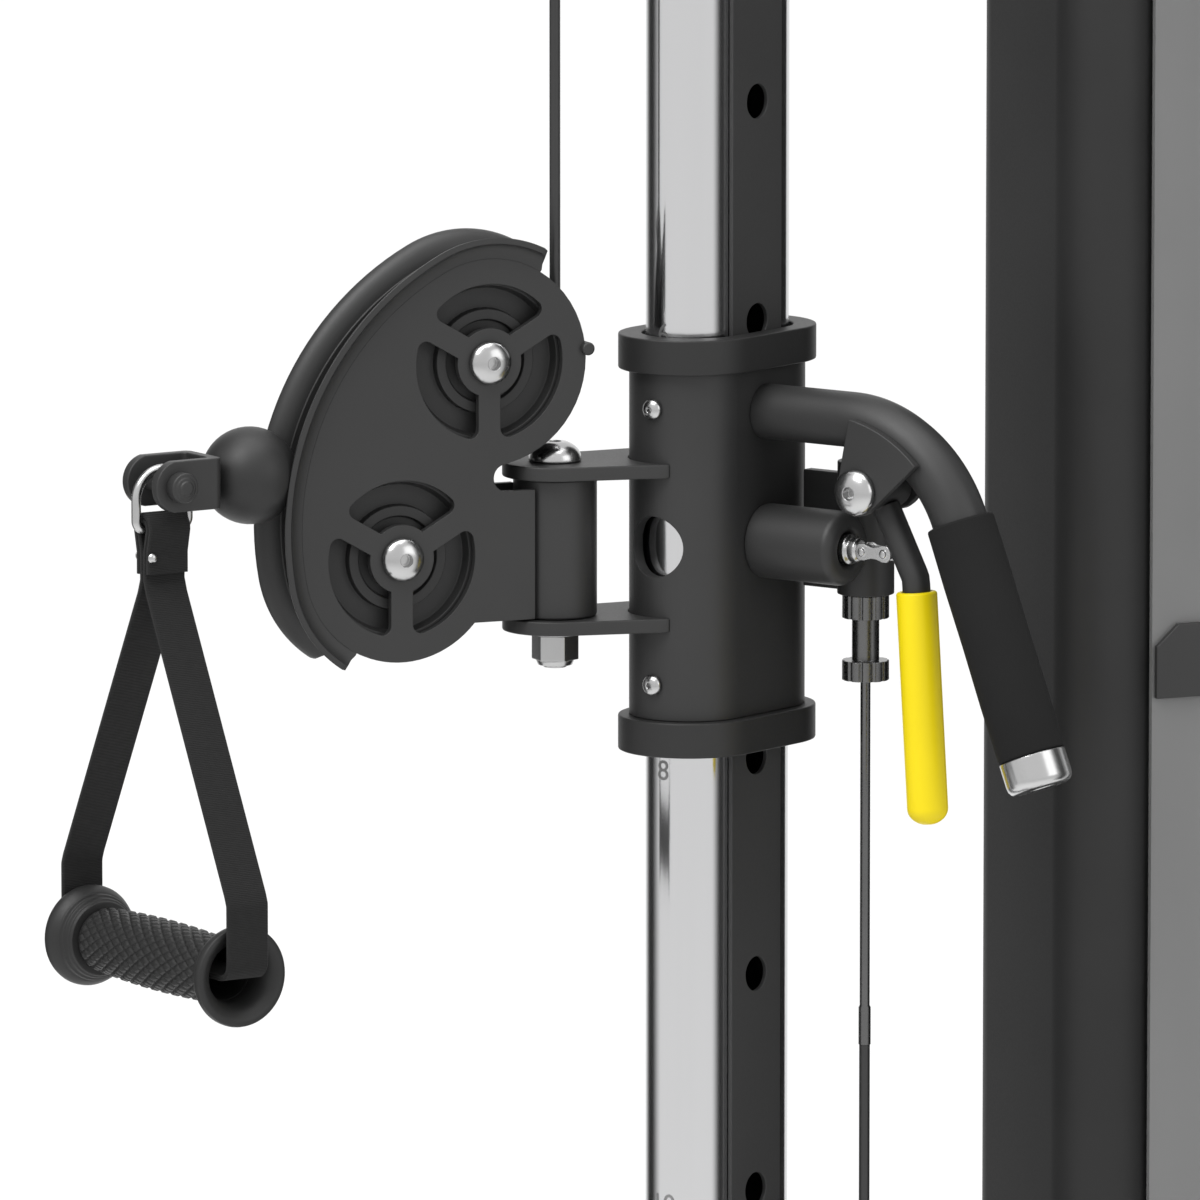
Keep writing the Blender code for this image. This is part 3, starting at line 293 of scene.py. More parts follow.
def make_looks():
    return {
        "black_coat": surface("powder_coat", grey(0.014), grey(0.018), (0.42, 0.56), bump=0.1, grain=900.0,
                              shine=0.38),
        "post_coat": surface("post_coat", grey(0.008), grey(0.012), (0.45, 0.58), bump=0.08, grain=900.0,
                             shine=0.3),
        "chrome": surface("polished_chrome", grey(0.54, 0.01), grey(0.6, 0.01), (0.1, 0.15), 1.0, bump=0.01,
                          grain=60.0, stretch=(1, 1, 0.08), rounding=0.0),
        "black_strip": surface("satin_strip", grey(0.022), grey(0.028), (0.42, 0.54), bump=0.05),
        "smoked_panel": smoked(),
        "black_plastic": surface("moulded_plastic", grey(0.012), grey(0.016), (0.42, 0.54), bump=0.12,
                                 shine=0.3),
        "black_foam": surface("foam_rubber", grey(0.007), grey(0.011), (0.85, 0.98), grain=1500.0, bump=0.4,
                              rounding=0.0, shine=0.12),
        "bright_steel": surface("turned_steel", grey(0.36), grey(0.46), (0.18, 0.28), 1.0, bump=0.03),
        "dark_steel": surface("black_oxide", grey(0.1), grey(0.15), (0.22, 0.34), 1.0, bump=0.03),
        "yellow_plastic": surface("yellow_vinyl", (0.6, 0.47, 0.001), (0.66, 0.52, 0.001), (0.38, 0.5),
                                  bump=0.05, shine=0.25),
        "cable_jacket": surface("cable_jacket", grey(0.01), grey(0.016), (0.25, 0.4), bump=0.1),
        "webbing": webbing(),
        "grey_iron": surface("painted_iron", grey(0.055), grey(0.085), (0.45, 0.62), bump=0.3, grain=350.0),
        "ink": surface("engraving", grey(0.16), grey(0.22), (0.3, 0.45), 0.6, bump=0.02, rounding=0.0),
    }


LOOKS = make_looks()


def dress_frame():
    """Gives every node of the frame its procedural material, by the slot that the record names."""
    slots = {entry["node"]: entry["material_slot"] for entry in frame["record"]["subparts"]}
    for name, node in frame["nodes"].items():
        node.data.materials.clear()
        node.data.materials.append(LOOKS[slots[name]])


# ---- stage, light and camera ----
def flat_card(name, centre, size, facing, look):
    """A flat rectangle at centre, whose face looks along facing."""
    mesh = bpy.data.meshes.new(name)
    half_wide, half_high = size[0] / 2, size[1] / 2
    mesh.from_pydata([(-half_wide, -half_high, 0), (half_wide, -half_high, 0),
                      (half_wide, half_high, 0), (-half_wide, half_high, 0)], [], [(0, 1, 2, 3)])
    card = in_scene(name, mesh)
    card.rotation_euler = Vector(facing).to_track_quat("Z", "Y").to_euler()
    card.location = centre
    mesh.materials.append(look)
    return card


def make_stage():
    pale = surface("pale_floor", grey(0.88), grey(0.9), (0.85, 0.95), bump=0.0, cloud=0.4, rounding=0.0)
    flat_card("floor", (0, 0, -0.001), (90, 90), (0, 0, 1), pale)
    world = bpy.data.worlds.new("studio")
    world.use_nodes = True
    backdrop = world.node_tree.nodes["Background"]
    backdrop.inputs["Color"].default_value = (1.0, 1.0, 1.0, 1.0)
    backdrop.inputs["Strength"].default_value = WORLD_STRENGTH
    bpy.context.scene.world = world


def soft_card():
    """A dark card that fades out towards both sides, so that its reflection has no hard edge."""
    build = Nodes("soft_card")
    split = build.add("ShaderNodeSeparateXYZ")
    build.link(build.coords.outputs["Generated"], split.inputs["Vector"])
    away = build.add("ShaderNodeMath", operation="PINGPONG")
    away.inputs[1].default_value = 0.5
    build.link(split.outputs["X"], away.inputs[0])
    fade = build.add("ShaderNodeMapRange", interpolation_type="SMOOTHSTEP")
    fade.inputs["From Max"].default_value = 0.45
    build.link(away.outputs["Value"], fade.inputs["Value"])
    build.feed("Alpha", fade.outputs["Result"])
    build.feed("Base Color", build.ramp(build.noise(2.0), ((0.3, grey(0.015)), (0.7, grey(0.02)))))
    build.fix("Roughness", 0.9)
    return build.material


def make_flags():
    """Dark cards round the column, seen only in reflections: they draw the soft dark bands on the chrome."""
    dark = soft_card()
    for index, (azimuth, width) in enumerate(FLAGS):
        towards = compass(azimuth, 0)
        centre = COLUMN_CENTRE + towards * FLAG_DISTANCE
        card = flat_card(f"flag_{index}", centre, (width, FLAG_HEIGHT), -towards, dark)
        for ray in ("camera", "diffuse", "shadow", "transmission"):
            setattr(card, f"visible_{ray}", False)


def area_light(name, azimuth, elevation, distance, size, energy):
    light = bpy.data.lights.new(name, "AREA")
    light.shape = "RECTANGLE"
    light.size, light.size_y = size
    light.energy = energy
    lamp = in_scene(name, light)
    towards = compass(azimuth, elevation)
    lamp.location = COLUMN_CENTRE + towards * distance
    lamp.rotation_euler = (-towards).to_track_quat("-Z", "Y").to_euler()
    lamp.visible_camera = False


def compass(azimuth, elevation):
    """The direction at an azimuth from the front, turning to +X, and an elevation, both in degrees."""
    around, up = radians(azimuth), radians(elevation)
    return Vector((sin(around) * cos(up), -cos(around) * cos(up), sin(up)))


def make_lights():
    area_light("key", 25, 50, 3.2, (1.4, 1.4), 70.0)
    area_light("fill", 120, 20, 3.5, (2.0, 2.0), 18.0)
    area_light("top", 60, 84, 2.6, (2.0, 2.0), 45.0)


def make_camera():
    """A long lens at the photo's angle, far enough away to look almost without perspective."""
    right = Vector((cos(radians(CAMERA_AZIMUTH)), sin(radians(CAMERA_AZIMUTH)), 0.0))
    target = COLUMN_CENTRE + CAMERA_SHIFT[0] * right + CAMERA_SHIFT[1] * UP
    towards = compass(CAMERA_AZIMUTH, CAMERA_ELEVATION)
    lens = bpy.data.cameras.new("photo")
    lens.sensor_width = SENSOR_WIDTH
    lens.lens = CAMERA_LENS
    lens.clip_end = 200.0
    camera = in_scene("photo", lens)
    camera.location = target + towards * (FRAME_WIDTH * CAMERA_LENS / SENSOR_WIDTH)
    camera.rotation_euler = (-towards).to_track_quat("-Z", "Y").to_euler()
    bpy.context.scene.camera = camera


def placed(origin, x_axis, y_axis):
    """The matrix of a local frame with these X and Y directions."""
    matrix = Matrix((x_axis, y_axis, x_axis.cross(y_axis))).transposed().to_4x4()
    matrix.translation = origin
    return matrix


def raised(height):
    return Matrix.Translation((0, 0, height))


def along(origin, axis):
    """The matrix of a local frame whose Z runs along axis."""
    side = axis.orthogonal().normalized()
    return placed(origin, side, axis.normalized().cross(side))


def soften(obj, width):
    bevel = obj.modifiers.new("edge", "BEVEL")
    bevel.width, bevel.segments = width, 2
    bevel.limit_method, bevel.angle_limit = "ANGLE", radians(40)
    obj.modifiers.new("normals", "WEIGHTED_NORMAL")


def piece(name, mesh, matrix, look, body, replaced=(), edge=0.0):
    """A mesh set in place on its body, with softened edges."""
    mesh.transform(matrix)
    obj = in_scene(name, mesh)
    mesh.materials.clear()
    mesh.materials.append(LOOKS[look])
    mesh.polygons.foreach_set("use_smooth", [True] * len(mesh.polygons))
    if edge:
        soften(obj, edge)
    else:
        mesh.set_sharp_from_angle(angle=radians(35))
    if body:
        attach(obj, body)
    if replaced:
        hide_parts(*replaced)
    return obj


def from_work(name, work):
    bmesh.ops.recalc_face_normals(work, faces=work.faces)
    mesh = bpy.data.meshes.new(name)
    work.to_mesh(mesh)
    work.free()
    return mesh


def curve_mesh(curve):
    holder = in_scene("holder", curve)
    mesh = bpy.data.meshes.new_from_object(holder)
    bpy.data.objects.remove(holder)
    return mesh


def flat(loops, thickness):
    """A flat outline with holes, as a plate of this thickness about its own XY plane."""
    curve = bpy.data.curves.new("outline", "CURVE")
    curve.dimensions = "2D"
    curve.fill_mode = "BOTH"
    curve.extrude = thickness / 2
    for loop in loops:
        spline = curve.splines.new("POLY")
        spline.points.add(len(loop) - 1)
        for point, (x, y) in zip(spline.points, loop):
            point.co = (x, y, 0, 1)
        spline.use_cyclic_u = True
    mesh = curve_mesh(curve)
    work = bmesh.new()
    work.from_mesh(mesh)
    bmesh.ops.remove_doubles(work, verts=work.verts, dist=1e-6)
    bmesh.ops.dissolve_limit(work, angle_limit=radians(0.5), verts=work.verts, edges=work.edges)
    return from_work("flat", work)


def sweep(points, radius, cyclic=False, smooth=8):
    """A round bar along a route."""
    curve = bpy.data.curves.new("sweep", "CURVE")
    curve.dimensions = "3D"
    curve.bevel_depth = radius
    curve.bevel_resolution = smooth
    curve.use_fill_caps = True
    spline = curve.splines.new("POLY")
    spline.points.add(len(points) - 1)
    for point, place in zip(spline.points, points):
        point.co = (*place, 1)
    spline.use_cyclic_u = cyclic
    return curve_mesh(curve)


def turned(profile, steps=64):
    """Turns a closed profile of (radius, height) points about local Z."""
    work = bmesh.new()
    rings = []
    for radius, height in profile:
        if radius < 1e-6:
            rings.append([work.verts.new((0, 0, height))] * steps)
            continue
        turn = [2 * pi * index / steps for index in range(steps)]
        rings.append([work.verts.new((radius * cos(a), radius * sin(a), height)) for a in turn])
    for first, second in zip(rings, rings[1:] + rings[:1]):
        for index in range(steps):
            following = (index + 1) % steps
            corners = [first[index], first[following], second[following], second[index]]
            corners = [corner for slot, corner in enumerate(corners) if corner not in corners[:slot]]
            if len(corners) > 2:
                work.faces.new(corners)
    return from_work("turned", work)


def carve(obj, operation, meshes, edge):
    """Cuts the object by each mesh in turn, and softens its edges afterwards."""
    obj.modifiers.clear()
    tools = [in_scene("tool", mesh) for mesh in meshes]
    for tool in tools:
        cut = obj.modifiers.new("cut", "BOOLEAN")
        cut.operation, cut.solver, cut.object = operation, "EXACT", tool
    obj.data = evaluated_mesh(obj)
    obj.modifiers.clear()
    for tool in tools:
        bpy.data.objects.remove(tool)
    soften(obj, edge)


def loft(work, rings, closed=False):
    """Faces from each ring to the next, and over both ends or back to the first ring."""
    for first, second in zip(rings, rings[1:] + (rings[:1] if closed else [])):
        for corner in range(len(first)):
            following = (corner + 1) % len(first)
            work.faces.new((first[corner], first[following], second[following], second[corner]))
    if not closed:
        work.faces.new(rings[0])
        work.faces.new(rings[-1])


def joined(name, parts):
    """One mesh from several (mesh, matrix) pairs."""
    work = bmesh.new()
    for mesh, matrix in parts:
        mesh.transform(matrix)
        work.from_mesh(mesh)
    return from_work(name, work)


def arc(centre, radius, start, end, steps):
    """Points on an arc, from start to end degrees."""
    points = []
    for index in range(steps + 1):
        angle = radians(start + (end - start) * index / steps)
        points.append((centre[0] + radius * cos(angle), centre[1] + radius * sin(angle)))
    return points


def circle(centre, radius, steps=48):
    return arc(centre, radius, 0, 360, steps)[:-1]


def stadium(half, grow=0.0, steps=36):
    """A flat oval with its long axis on X, from its half length and half thickness."""
    radius = half[1] + grow
    offset = half[0] - half[1]
    return arc((offset, 0), radius, -90, 90, steps) + arc((-offset, 0), radius, 90, 270, steps)


def carriage(u, n, z):
    return COLUMN_CENTRE + u * U + n * N + z * UP


def head(s, z, x=0.0):
    """A point given from the swivel's axis, s ahead of it."""
    return COLUMN_CENTRE + Vector((x, PIVOT_Y - s, z))


def hand(across, ahead, z):
    """A point given from the ball's centre, along the hand grip's own directions."""
    return head(*BALL_AT) + across * ACROSS + ahead * AHEAD + z * UP


def lever_plane(n_from_flat, z, u=0.0):
    """A point given from the sleeve's flat, in the plane of the carriage's handle and lever."""
    return carriage(u, SLEEVE_HALF[1] + n_from_flat, z)


def button(radius, rise, face, shank, socket):
    """Half of a domed button head's profile, above its face, with a socket in the crown."""
    dome = [(radius * cos(a), face + 0.001 + rise * sin(a))
            for a in [radians(step * 8) for step in range(9)] if radius * cos(a) > socket]
    return [(0, face + rise * 0.35), (socket, face + rise * 0.35), (socket, dome[-1][1] + 0.0002)] \
        + dome[::-1] + [(radius, face), (shank, face)]


def mirrored(profile):
    return [(radius, -height) for radius, height in reversed(profile)]


def both_ends(half):
    """A profile that is the same at both ends."""
    return half + mirrored(half)


# ---- the pulley head ----
def back_arc():
    """The centre and radius of the arc that joins the two lobes along the front."""
    middle = Vector(((UPPER_HUB[0] + LOWER_HUB[0]) / 2, (UPPER_HUB[1] + LOWER_HUB[1]) / 2))
    rise = (Vector(UPPER_HUB) - Vector(LOWER_HUB)).normalized()
    centre = middle - BACK_ARC_OFFSET * Vector((rise.y, -rise.x))
    return centre, (Vector(LOWER_HUB) - centre).length + LOBE_RADIUS


def front_edge(start, end, grow=0.0):
    """The front edge of a cheek, up from the lower lobe's start angle to the upper lobe's end angle."""
    centre, radius = back_arc()
    low, high = [degrees(atan2(hub[1] - centre[1], hub[0] - centre[0]))
                 for hub in (LOWER_HUB, UPPER_HUB)]
    points = arc(LOWER_HUB, LOBE_RADIUS + grow, start, low, 30)
    points += arc(centre, radius + grow, low, high, 30)[1:-1]
    return points + arc(UPPER_HUB, LOBE_RADIUS + grow, high, end, 30)


def hub_window(hub, spoke):
    """The window between a spoke and the next one, with rounded outer corners."""
    following = spoke + 120
    inner_radius, outer_radius = HUB_WINDOW
    corner = HUB_WINDOW_CORNER
    reach = outer_radius - corner
    turn = degrees(asin((SPOKE_HALF + corner) / reach))
    inner = degrees(asin(SPOKE_HALF / inner_radius))
    first, last = [arc(hub, reach, angle, angle, 1)[0] for angle in (spoke + turn, following - turn)]
    loop = arc(first, corner, spoke - 90, spoke + turn, 8)
    loop += arc(hub, outer_radius, spoke + turn, following - turn, 18)[1:-1]
    loop += arc(last, corner, following - turn, following + 90, 8)
    return loop + arc(hub, inner_radius, following - inner, spoke + inner, 10)


def cheek_loops():
    tab_back, tab_low, slot_low, slot_radius = 0.0158, -0.031, 0.028, 0.0062
    slot_end = 0.036 - slot_radius
    start = -180 + degrees(asin(-tab_low / LOBE_RADIUS))
    outline = [(tab_back, tab_low)] + front_edge(start, 258)
    outline += arc((slot_end, slot_low + slot_radius), slot_radius, 90, -90, 16) + [(tab_back, slot_low)]
    loops = [outline]
    for hub in (UPPER_HUB, LOWER_HUB):
        loops.append(circle(hub, AXLE_RADIUS + GAP))
        loops += [hub_window(hub, spoke) for spoke in (-90, 30, 150)]
    return loops


def curled_lip(side):
    """A sheet that curls outward along the front edge and fades out at both ends."""
    thickness = CHEEK_OUTER - CHEEK_INNER - 0.0008
    steps = 7
    start, end, root = -62, 122, -0.0025
    base = front_edge(start, end)
    ahead = front_edge(start, end, 1.0)
    count = len(base)
    work = bmesh.new()
    sections = []
    for index, (low, high) in enumerate(zip(base, ahead)):
        share = min(1.0, (0.5 + min(index, count - 1 - index)) / 3.0)
        share = share * share * (3 - 2 * share)
        outward = (Vector(high) - Vector(low)).normalized()
        reach, flare = root + (LIP_HEIGHT - root) * (0.25 + 0.75 * share), LIP_FLARE * share
        inside, outside = [], []
        for step in range(steps + 1):
            angle = pi / 2 * step / steps
            grow = root + (reach - root - thickness * share) * sin(angle)
            across = CHEEK_INNER + 0.0004 + flare * (1 - cos(angle))
            spot = Vector(low) + outward * grow
            lean = Vector((sin(angle) * share, cos(angle))).normalized() * thickness
            thick = spot + outward * lean.x
            inside.append((spot.x, spot.y, side * (across + lean.y)))
            outside.append((thick.x, thick.y, side * across))
        sections.append([work.verts.new(corner) for corner in inside + outside[::-1]])
    loft(work, sections)
    return from_work("lip", work)


def make_cheeks():
    matrix = placed(head(0, 0), -BACK, UP)
    for name, side in (("cheek_left", 1), ("cheek_right", -1)):
        middle = raised(side * (CHEEK_INNER + CHEEK_OUTER) / 2)
        sheet = flat(cheek_loops(), CHEEK_OUTER - CHEEK_INNER)
        mesh = joined(name, [(sheet, middle), (curled_lip(side), Matrix())])
        piece(f"smooth_{name}", mesh, matrix, "black_coat", "head", [name], edge=0.0005)


def make_head_wheels():
    """Grooved wheels with a stepped web and a shielded bearing, seen through the cheeks' windows."""
    half, bore, groove = PULLEY_HALF_WIDTH, AXLE_RADIUS + GAP, WRAP_RADIUS - CABLE_RADIUS - 0.0005
    face = [(bore, half - 0.001), (0.0085, half - 0.001), (0.009, half), (0.0125, half),
            (0.013, half - 0.003), (0.0185, half - 0.003), (0.019, half - 0.0008), (0.0235, half - 0.0008),
            (0.024, half - 0.0045), (0.033, half - 0.0045), (0.0345, half), (PULLEY_RADIUS, half),
            (PULLEY_RADIUS, half - 0.002), (WRAP_RADIUS, 0.0036), (groove, 0.0015)]
    dome = button(0.01, 0.005, CHEEK_OUTER + GAP, AXLE_RADIUS, 0.003)
    for place, hub in (("upper", UPPER_HUB), ("lower", LOWER_HUB)):
        matrix = along(head(*hub), SIDE)
        piece(f"wheel_{place}", turned(both_ends(face), 72), matrix, "black_plastic", f"head_{place}_wheel",
              [f"head_{place}_pulley"], edge=0.0003)
        piece(f"hub_bolt_{place}", turned(both_ends(dome), 48), matrix, "bright_steel", "head",
              [f"head_{place}_bolt"], edge=0.0002)


def make_hinge():
    half, bore = BRACKET_INNER_Z - GAP, PIVOT_RADIUS + GAP
    barrel = both_ends([(bore, half), (BARREL_RADIUS, half)])
    piece("barrel", turned(barrel), Matrix.Translation(head(0, 0)), "black_coat", "head", ["head_barrel"],
          edge=0.001)
    rear = -0.016
    outline = arc((0, PIVOT_Y), BRACKET_RADIUS, 180, 360, 40) + [(0.029, -0.05), (0.0315, -0.0415)]
    outline += seat_edge(rear) + [(-0.027, rear)]
    for name, side in (("hinge_bracket_upper", 1), ("hinge_bracket_lower", -1)):
        middle = side * (BRACKET_INNER_Z + BRACKET_OUTER_Z) / 2
        mesh = flat([outline, circle((0, PIVOT_Y), bore)], BRACKET_OUTER_Z - BRACKET_INNER_Z)
        matrix = placed(COLUMN_CENTRE + middle * UP, SIDE, BACK)
        piece(f"smooth_{name}", mesh, matrix, "black_coat", "carriage", [name], edge=0.0006)


def seat_edge(rear):
    """The bracket's inner edge, which fits round the sleeve, in plan from the right to the left."""
    oval = [U * x + UP.cross(U) * y for x, y in stadium(SLEEVE_HALF, GAP, 60)]
    ahead = [(spot.x, spot.y) for spot in oval if spot.y < rear and spot.x < 0.0315 and spot.y + spot.x < 0]
    return sorted(ahead, key=lambda spot: -spot[0])


def make_pivot_bolt():
    top, low = BRACKET_OUTER_Z + GAP, -BRACKET_OUTER_Z - GAP
    dome = button(0.012, 0.0085, top, PIVOT_RADIUS, 0.0028)
    shank = dome + [(PIVOT_RADIUS, low), (0.012, low), (0.012, low - 0.0018), (PIVOT_RADIUS, low - 0.0018),
                    (PIVOT_RADIUS - 0.0006, low - 0.017), (0, low - 0.017)]
    nut = flat([circle((0, 0), 0.0108, 6), circle((0, 0), PIVOT_RADIUS - 0.0008, 24)], 0.0115)
    collar = turned([(PIVOT_RADIUS, low - 0.0135), (0.0088, low - 0.0135), (0.0078, low - 0.016),
                     (PIVOT_RADIUS, low - 0.016)], 36)
    mesh = joined("pivot", [(turned(shank, 48), Matrix()), (collar, Matrix()),
                            (nut, raised(low - 0.0077))])
    piece("pivot_fastener", mesh, Matrix.Translation(head(0, 0)), "bright_steel", "carriage", ["pivot_bolt"],
          edge=0.0004)


def make_ball():
    steps = 28
    hole = 0.0032
    dome = []
    for index in range(steps + 1):
        angle = radians(90 - 180 * index / steps)
        radius = BALL_RADIUS * cos(angle)
        dome.append((max(radius, hole), BALL_RADIUS * sin(angle)))
    work = turned([(hole, BALL_RADIUS - 0.003)] + dome + [(hole, 0.003 - BALL_RADIUS)], 72)
    piece("rubber_ball", work, along(hand(0, 0, 0), AHEAD), "black_plastic", "head", ["ball_stop"], edge=0.0)


# ---- the hand grip ----
def make_clevis():
    """A bent strap with rounded ends, and a headed pin with a round nut."""
    rear = BALL_RADIUS + GAP + 0.0005
    half, wall, front = CLEVIS_HALF_WIDTH, CLEVIS_THICKNESS, rear + CLEVIS_LENGTH
    steps, ear_radius = 14, CLEVIS_HALF_HEIGHT + 0.0003
    bend = 0.004
    outer = [(-half, front)] + arc((bend - half, rear + bend), bend, 180, 270, steps)
    outer += arc((half - bend, rear + bend), bend, 270, 360, steps) + [(half, front)]
    inner_bend = 0.0025
    inside = half - wall
    seat = rear + wall + inner_bend
    inner = [(inside, front)] + arc((inside - inner_bend, seat), inner_bend, 0, -90, steps)
    inner += arc((inner_bend - inside, seat), inner_bend, -90, -180, steps) + [(-inside, front)]
    plate = flat([outer + inner], 2 * CLEVIS_HALF_HEIGHT)
    sheet = piece("clevis_strap", plate, placed(hand(0, 0, 0), ACROSS, AHEAD), "black_coat", "clevis",
                  ["clevis"])
    ears = arc((PIN_AHEAD, 0), ear_radius, -90, 90, 32) + [(0, ear_radius), (0, -ear_radius)]
    keep = flat([ears], 4 * half)
    keep.transform(placed(hand(0, 0, 0), AHEAD, UP))
    carve(sheet, "INTERSECT", [keep], 0.0006)
    pin_half = half + 0.002
    pin = [(0, half - 0.0002), (PIN_RADIUS, half - 0.0002), (PIN_RADIUS, -half), (0, -half)]
    nut = [(0, pin_half + 0.005), (0.003, pin_half + 0.005), (0.0034, pin_half + 0.0042),
           (0.0046, pin_half + 0.0042), (0.005, pin_half + 0.0036), (0.0064, pin_half + 0.0036),
           (0.0068, pin_half + 0.003), (0.0068, half), (0, half)]
    ends = [(turned(profile, 40), Matrix()) for profile in (nut, mirrored(nut))]
    mesh = joined("pin", [(turned(pin, 32), Matrix())] + ends)
    piece("clevis_fastener", mesh, along(hand(0, PIN_AHEAD, 0), ACROSS), "black_coat", "clevis", edge=0.0003)


def ring_bar():
    """The height of the D-ring's bar below the pin."""
    return PIN_RADIUS + RING_WIRE + GAP - RING_HEIGHT


def make_ring():
    top, bottom, radius, corner = ring_bar() + RING_HEIGHT, ring_bar(), RING_HALF_LENGTH, 0.004
    loop = arc((0, top - radius), radius, 180, 0, 36)
    loop += arc((radius - corner, bottom + corner), corner, 0, -90, 10)
    loop += arc((corner - radius, bottom + corner), corner, -90, -180, 10)
    points = [hand(0, PIN_AHEAD + ahead, z) for ahead, z in loop]
    piece("wire_ring", sweep(points, RING_WIRE, cyclic=True), Matrix(), "bright_steel", "handle", ["d_ring"])


def tape(points, closed=False):
    """A tape of the strap's width and thickness along a route of (across, height) points."""
    work = bmesh.new()
    half, wall = STRAP_HALF_WIDTH, STRAP_THICKNESS / 2
    corner = 0.0006
    section = [(-half, corner - wall), (corner - half, -wall), (half - corner, -wall), (half, corner - wall),
               (half, wall - corner), (half - corner, wall), (corner - half, wall), (-half, wall - corner)]
    rings = []
    count = len(points)
    for index in range(count):
        before = Vector(points[(index - 1) % count] if closed or index else points[0])
        after = Vector(points[(index + 1) % count] if closed or index < count - 1 else points[-1])
        run = (after - before).normalized()
        normal = Vector((-run.y, run.x))
        spot = Vector(points[index])
        rings.append([work.verts.new((spot.x + normal.x * deep, spot.y + normal.y * deep, wide))
                      for wide, deep in section])
    loft(work, rings, closed)
    return from_work("tape", work)


def spaced(points, gap=0.0015):
    """Evenly spaced points along a polyline."""
    spots, left = [Vector(points[0])], gap
    for first, second in zip(points, points[1:]):
        first, second = Vector(first), Vector(second)
        length = (second - first).length
        travel = left
        while travel < length:
            spots.append(first.lerp(second, travel / length))
            travel += gap
        left = travel - length
    return spots


def make_strap():
    """Webbing folded over the ring's bar and riveted, with a leg down to each end of the grip."""
    matrix = placed(hand(0, PIN_AHEAD, ring_bar()), ACROSS, UP)
    eye = RING_WIRE + 0.0004 + STRAP_THICKNESS / 2
    half_wall, neck, foot = STRAP_THICKNESS / 2, 0.023, GRIP_DROP
    reach, turn = CAP_END + 0.0037, 0.007
    leg = [(reach - 0.0015, 0.037 - foot), (reach, 0.033 - foot)]
    leg += arc((reach - turn, turn - foot), turn, 0, -90, 10)
    side = [(half_wall, -neck), (half_wall + 0.0022, -neck - 0.006)] + leg
    curl = arc((0, 0), eye, -20, 200, 24)
    loop = [(-x, z) for x, z in reversed(side)] + [(-half_wall - 0.0002, -0.01)]
    loop += curl[::-1] + [(half_wall + 0.0002, -0.01)] + side
    loop += [(GRIP_HALF * 0.7, -foot), (-GRIP_HALF * 0.7, -foot)]
    mesh = tape(spaced(loop + loop[:1])[:-1], closed=True)
    piece("webbing_strap", mesh, matrix, "webbing", "handle", ["strap"])
    wide = 3 * half_wall + 0.0003
    cover = [(-wide, -0.0205), (-wide, -0.0105)] + arc((0, 0), eye + 2 * half_wall, 200, -20, 24)
    cover += [(wide, -0.0105), (wide, -0.0205)]
    piece("strap_fold", tape(spaced(cover, 0.001)), matrix, "webbing", "handle")
    rivet = [(0, 0.007), (0.0012, 0.0068), (0.0022, 0.0061), (0.0025, 0.0053), (0.0016, 0.005), (0.0016, 0)]
    place = hand(0, PIN_AHEAD, ring_bar() - 0.0125) - 0.0082 * UP.cross(ACROSS)
    piece("rivet_0", turned(both_ends(rivet), 24), along(place, ACROSS), "bright_steel", "handle")


def make_grip():
    """A waisted tube with a raised diamond knurl, between two bell-mouthed caps with stepped rings."""
    matrix = along(hand(0, PIN_AHEAD, ring_bar() - GRIP_DROP), ACROSS)
    half, bore, rows, around = GRIP_HALF, GRIP_BORE, 150, 200
    work = bmesh.new()
    rings = []
    for row in range(rows + 1):
        height = -half + 2 * half * row / rows
        base = 0.016 - 0.0018 * (height / half) ** 2 - 0.0007
        ring = []
        for step in range(around):
            angle = 2 * pi * step / around
            first = abs(((step * 20 / around + height * 112) % 1) - 0.5) * 2
            second = abs(((step * 20 / around - height * 112) % 1) - 0.5) * 2
            raised = min(1.0, min(1 - first, 1 - second) * 2.4)
            edge_fade = min(1.0, (half - abs(height)) / 0.003)
            radius = base + 0.001 * raised * edge_fade
            ring.append(work.verts.new((radius * cos(angle), radius * sin(angle), height)))
        rings.append(ring)
    turn = [2 * pi * step / around for step in range(around)]
    for end in (half, -half):
        rings.append([work.verts.new((bore * cos(a), bore * sin(a), end)) for a in turn])
    loft(work, rings, closed=True)
    piece("knurled_grip", from_work("grip", work), matrix, "black_plastic", "grip", ["grip"])
    mouth = [(0.0225 - 0.0098 * cos(a), CAP_END - 0.0125 * (1 - sin(a)))
             for a in [radians(9 * k) for k in range(11)]]
    rim = [(0.0226, CAP_END - 0.0008), (0.023, CAP_END - 0.0024), (0.0229, CAP_END - 0.0042),
           (0.0222, CAP_END - 0.006)]
    rim += [(radius, half + rise) for radius, rise in (
        (0.0207, 0.0072), (0.0198, 0.0066), (0.0195, 0.0044), (0.0185, 0.004), (0.0181, 0.0018),
        (0.0172, 0.0014), (0.0168, GAP))]
    cap = [(bore, half + GAP)] + mouth[:-1] + rim
    for name, profile in (("grip_cap_right", cap), ("grip_cap_left", mirrored(cap))):
        piece(f"bell_{name}", turned(profile, 72), matrix, "black_plastic", "grip", [name], edge=0.0003)


# ---- the carriage ----
def oval_ring(name, outer, bore, low, high, look, replaced, edge):
    matrix = placed(carriage(0, 0, (low + high) / 2), U, UP.cross(U))
    ring = flat([stadium(outer), stadium(bore)], high - low)
    return piece(name, ring, matrix, look, "carriage", [replaced], edge=edge)


def drill(matrix, radius, length):
    mesh = turned([(0, length / 2), (radius, length / 2), (radius, -length / 2), (0, -length / 2)], 48)
    mesh.transform(matrix)
    return mesh


